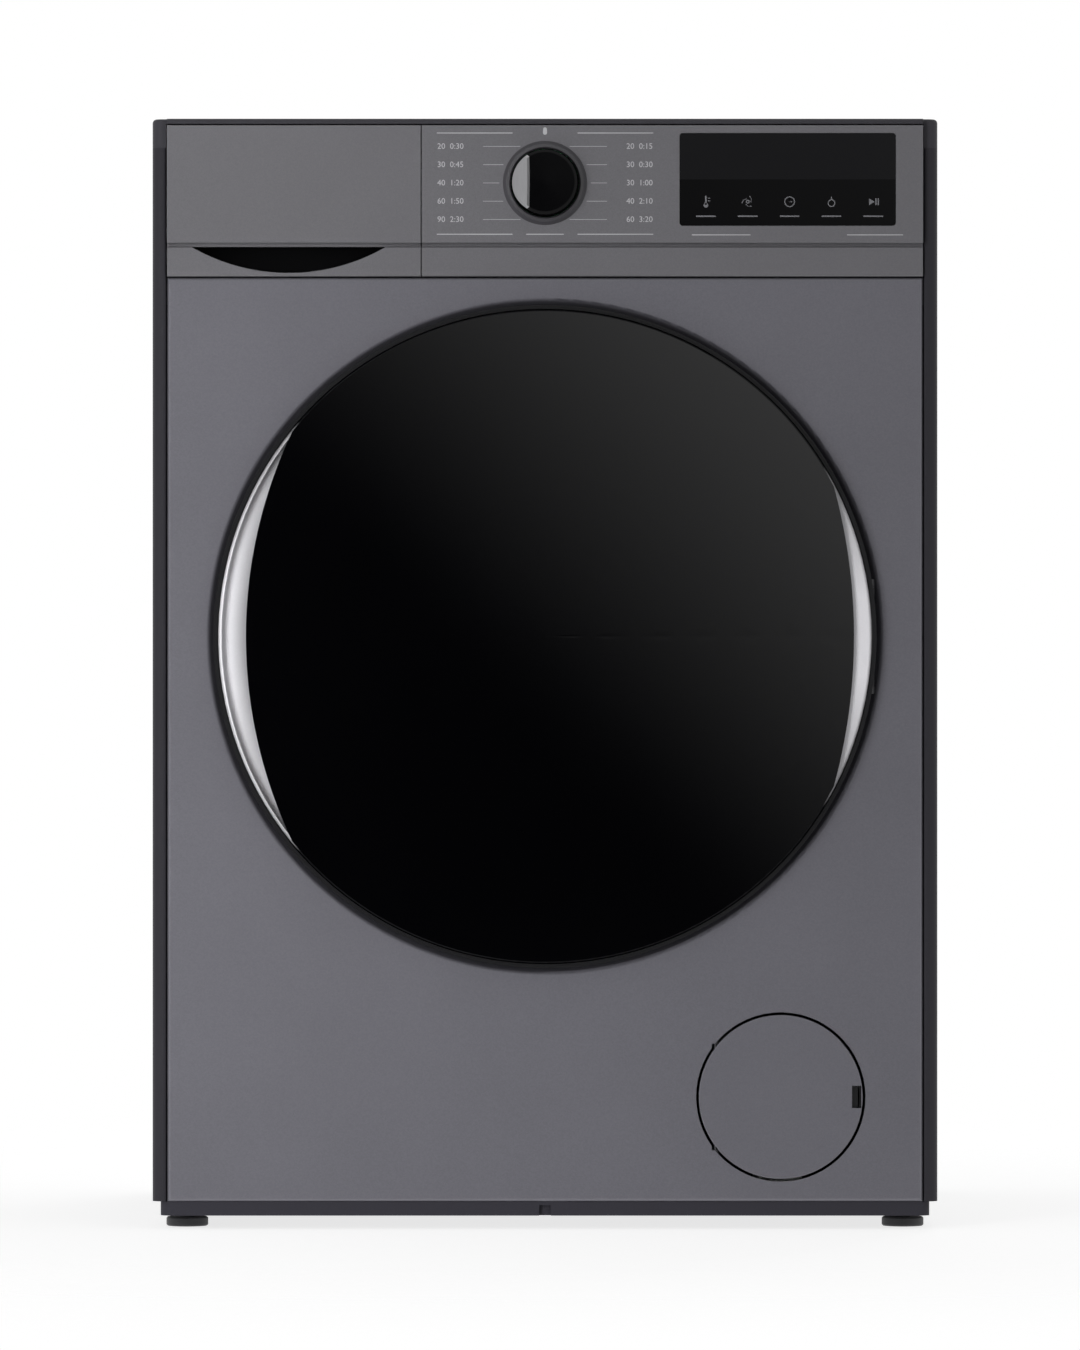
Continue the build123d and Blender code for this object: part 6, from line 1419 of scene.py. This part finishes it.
class WASHER_OT_drawer_details(bpy.types.Operator):
    """Line the drawer's finger recess in matt black as painted shade, and mark its three compartments"""

    bl_idname = "washer.drawer_details"
    bl_label = "Drawer Details"

    def execute(self, context):
        front_low, front_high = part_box("drawer_front")
        place = ((front_low.x + front_high.x) / 2, TRAY_LOW.y - 11.2 * MM, front_low.z + 14.6 * MM)
        size = (178 * MM, 21 * MM, 23.5 * MM)
        taper = (0.86, 1, 0.82)
        # Painted shade: a matt black liner in the finger recess stands in for the shadow there.
        shade_liner = block(size, place)
        edit(shade_liner)
        pick_faces(shade_liner, lambda normal: normal.y < -0.9)
        bpy.ops.mesh.delete(type="FACE")
        pick(shade_liner, lambda vertex: vertex.co.y > TRAY_LOW.y - 5 * MM)
        bpy.ops.transform.resize(value=taper)
        end_edit()
        modify(shade_liner, "SOLIDIFY", thickness=0.6 * MM, offset=0.0)
        shade_liner.name = "drawer_recess_shade"
        dressed(shade_liner, recess_shade_plastic(), "drawer")
        floor = TRAY_LOW.z + 14.5 * MM
        tall = 14 * MM
        y = TRAY_LOW.y + 62 * MM
        flower = [flat_disc((0, 0), tall * 0.14)]
        for i in range(6):
            angle = math.tau * i / 6
            centre = (tall * 0.3 * math.cos(angle), tall * 0.3 * math.sin(angle))
            flower.append(flat_ring(centre, tall * 0.19, tall * 0.06))
        shapes = [flat_text(words, tall, (x, y)) for words, x in COMPARTMENT_NUMBERS]
        shapes.append(placed(joined(flower, "petals"), (SOFTENER_X, y, 0), "petals"))
        marks = stood_up(shapes, "compartment_marks", (0, 0, floor), (0, 0, 0))
        dressed(marks, blue_plastic(), "drawer")
        return {"FINISHED"}


WHITE = (1, 1, 1, 1)


def studio_world():
    """Even grey light, with white behind the machine for the camera, mirrors and glass."""
    world = bpy.data.worlds.new("Studio")
    bpy.context.scene.world = world
    world.use_nodes = True
    tree = world.node_tree
    tree.nodes.clear()
    path = add_node(tree, "LightPath").outputs
    seen = add_node(tree, "Math", {0: path["Is Camera Ray"], 1: path["Is Glossy Ray"]}, operation="MAXIMUM")
    seen = add_node(tree, "Math", {0: seen, 1: path["Is Transmission Ray"]}, operation="MAXIMUM")
    light = add_node(tree, "Background", {"Color": WHITE, "Strength": 0.36})
    white = add_node(tree, "Background", {"Color": WHITE, "Strength": 1.0})
    mix = add_node(tree, "MixShader", {0: seen, 1: light, 2: white})
    add_node(tree, "OutputWorld", {"Surface": mix})


def studio_floor():
    """A pale floor that keeps the shadow and fades into the white around it."""
    clear_selection()
    bpy.ops.mesh.primitive_circle_add(vertices=64, radius=2.4, fill_type="NGON", location=(0, 0, -0.4 * MM))
    floor = bpy.context.object
    floor.name = "studio_floor"
    material, tree, place = new_material("Studio light table, white")
    reach = add_node(tree, "VectorMath", {0: place}, operation="LENGTH").outputs["Value"]
    edge = {"Value": reach, "From Min": 0.5, "From Max": 1.5}
    fade = add_node(tree, "MapRange", edge, interpolation_type="SMOOTHSTEP")
    behind = add_node(tree, "NewGeometry").outputs["Backfacing"]
    gone = add_node(tree, "Math", {0: fade, 1: behind}, operation="MAXIMUM")
    vinyl = add_node(tree, "BsdfDiffuse", {"Color": linear("B4B4B4")})
    glow = add_node(tree, "Emission", {"Color": WHITE, "Strength": 0.76})
    matt = add_node(tree, "AddShader", {0: vinyl, 1: glow})
    clear = add_node(tree, "BsdfTransparent")
    mix = add_node(tree, "MixShader", {0: gone, 1: matt, 2: clear})
    add_node(tree, "OutputMaterial", {"Surface": mix})
    floor.data.materials.append(material)
    floor.visible_glossy = False
    floor.visible_shadow = False


def studio_card():
    """A dark card that only mirrors see, paler to the upper right, as a photographer's flag."""
    clear_selection()
    bpy.ops.mesh.primitive_plane_add(size=3.0, location=(0, -4.0, AXIS_Z), rotation=FRONT)
    card = bpy.context.object
    card.name = "studio_card"
    settle(card)
    material, tree, place = new_material("Studio card, graded grey")
    upwards = (0.72, 0, 0.69)
    from_axis = add_node(tree, "VectorMath", {0: place, 1: (0, 0, AXIS_Z)}, operation="SUBTRACT")
    slope = add_node(tree, "VectorMath", {0: from_axis, 1: upwards}, operation="DOT_PRODUCT")
    grade = {"Value": slope.outputs["Value"], "From Min": -0.3, "From Max": 1.85}
    level = add_node(tree, "MapRange", grade, interpolation_type="SMOOTHSTEP")
    glow = add_node(tree, "Emission", {"Color": WHITE, "Strength": level})
    add_node(tree, "OutputMaterial", {"Surface": glow})
    card.data.materials.append(material)
    card.visible_camera = False
    card.visible_diffuse = False
    card.visible_shadow = False
    card.visible_transmission = False


def softbox(name, place, target, size, power, spread):
    """An area lamp turned to a target; mirrors see the white room instead of it."""
    bpy.ops.object.light_add(type="AREA", location=place)
    lamp = bpy.context.object
    lamp.name = name
    lamp.data.shape = "RECTANGLE"
    lamp.data.size, lamp.data.size_y = size
    lamp.data.spread = math.radians(spread)
    lamp.data.energy = power
    lamp.visible_glossy = False
    aim = Vector(target) - Vector(place)
    lamp.rotation_euler = aim.to_track_quat("-Z", "Y").to_euler()


# The photograph's height, the machine's height in it, and the camera's axis seen from the middle of the
# machine's foot, all in pixels.
FRAME_HIGH_PX = 1350
MACHINE_HIGH_PX = 1110
MIDDLE_PX = (540 - 545, 1229 - 675)
CAMERA_DISTANCE = 7.0


def studio_camera():
    """A long lens straight in front, framed as the photograph is."""
    scale = (CAD_HIGH.z - CAD_LOW.z) / MACHINE_HIGH_PX
    place = (MIDDLE_PX[0] * scale, PANEL_Y - CAMERA_DISTANCE, MIDDLE_PX[1] * scale)
    bpy.ops.object.camera_add(location=place, rotation=FRONT)
    camera = bpy.context.object
    camera.data.lens = camera.data.sensor_width * CAMERA_DISTANCE / (FRAME_HIGH_PX * scale)
    camera.data.clip_end = 100
    bpy.context.scene.camera = camera


class WASHER_OT_studio(bpy.types.Operator):
    """Set up the floor, the soft light, the dark card behind the camera and the camera"""

    bl_idname = "washer.studio"
    bl_label = "Studio"

    def execute(self, context):
        studio_world()
        studio_floor()
        studio_card()
        middle = (0, 0, AXIS_Z)
        softbox("key_softbox", (-1.0, -2.2, AXIS_Z), (-0.42, PANEL_Y, AXIS_Z), (0.7, 2.6), 10.4, 70)
        softbox("fill_softbox", (1.4, -2.4, 2.2), middle, (1.6, 1.6), 3, 180)
        softbox("rear_softbox", (0.8, 3.0, 2.4), middle, (1.8, 1.8), 26, 180)
        studio_camera()
        return {"FINISHED"}


class WASHER_PT_panel(bpy.types.Panel):
    """Lists the steps that dress the machine"""

    bl_label = "Washing Machine"
    bl_idname = "WASHER_PT_panel"
    bl_space_type = "VIEW_3D"
    bl_region_type = "UI"
    bl_category = "Washer"

    def draw(self, context):
        layout = self.layout
        for step in STEPS:
            layout.operator(step.bl_idname)
        for group in (context.scene.washer_colours, context.scene.washer_sizes):
            box = layout.box()
            for name in group.__annotations__:
                box.prop(group, name)


STEPS = [
    WASHER_OT_finishes,
    WASHER_OT_programme_marks,
    WASHER_OT_key_signs,
    WASHER_OT_drawer_details,
    WASHER_OT_edge_seals,
    WASHER_OT_flap_covers,
    WASHER_OT_gasket,
    WASHER_OT_hoses,
    WASHER_OT_springs,
    WASHER_OT_belt,
    WASHER_OT_drum_holes,
    WASHER_OT_screws,
    WASHER_OT_connections,
    WASHER_OT_studio,
]
CLASSES = [WasherColours, WasherSizes, *STEPS, WASHER_PT_panel]


def register():
    for cls in CLASSES:
        bpy.utils.register_class(cls)
    bpy.types.Scene.washer_colours = PointerProperty(type=WasherColours)
    bpy.types.Scene.washer_sizes = PointerProperty(type=WasherSizes)


def unregister():
    del bpy.types.Scene.washer_sizes
    del bpy.types.Scene.washer_colours
    for cls in reversed(CLASSES):
        bpy.utils.unregister_class(cls)


def main():
    register()
    bpy.context.scene.view_settings.view_transform = "Standard"
    bpy.ops.washer.finishes()
    bpy.ops.washer.programme_marks()
    bpy.ops.washer.key_signs()
    bpy.ops.washer.drawer_details()
    bpy.ops.washer.edge_seals()
    bpy.ops.washer.flap_covers()
    bpy.ops.washer.gasket()
    bpy.ops.washer.hoses()
    bpy.ops.washer.springs()
    bpy.ops.washer.belt()
    bpy.ops.washer.drum_holes()
    bpy.ops.washer.screws()
    bpy.ops.washer.connections()
    bpy.ops.washer.studio()


if __name__ == "__main__":
    main()
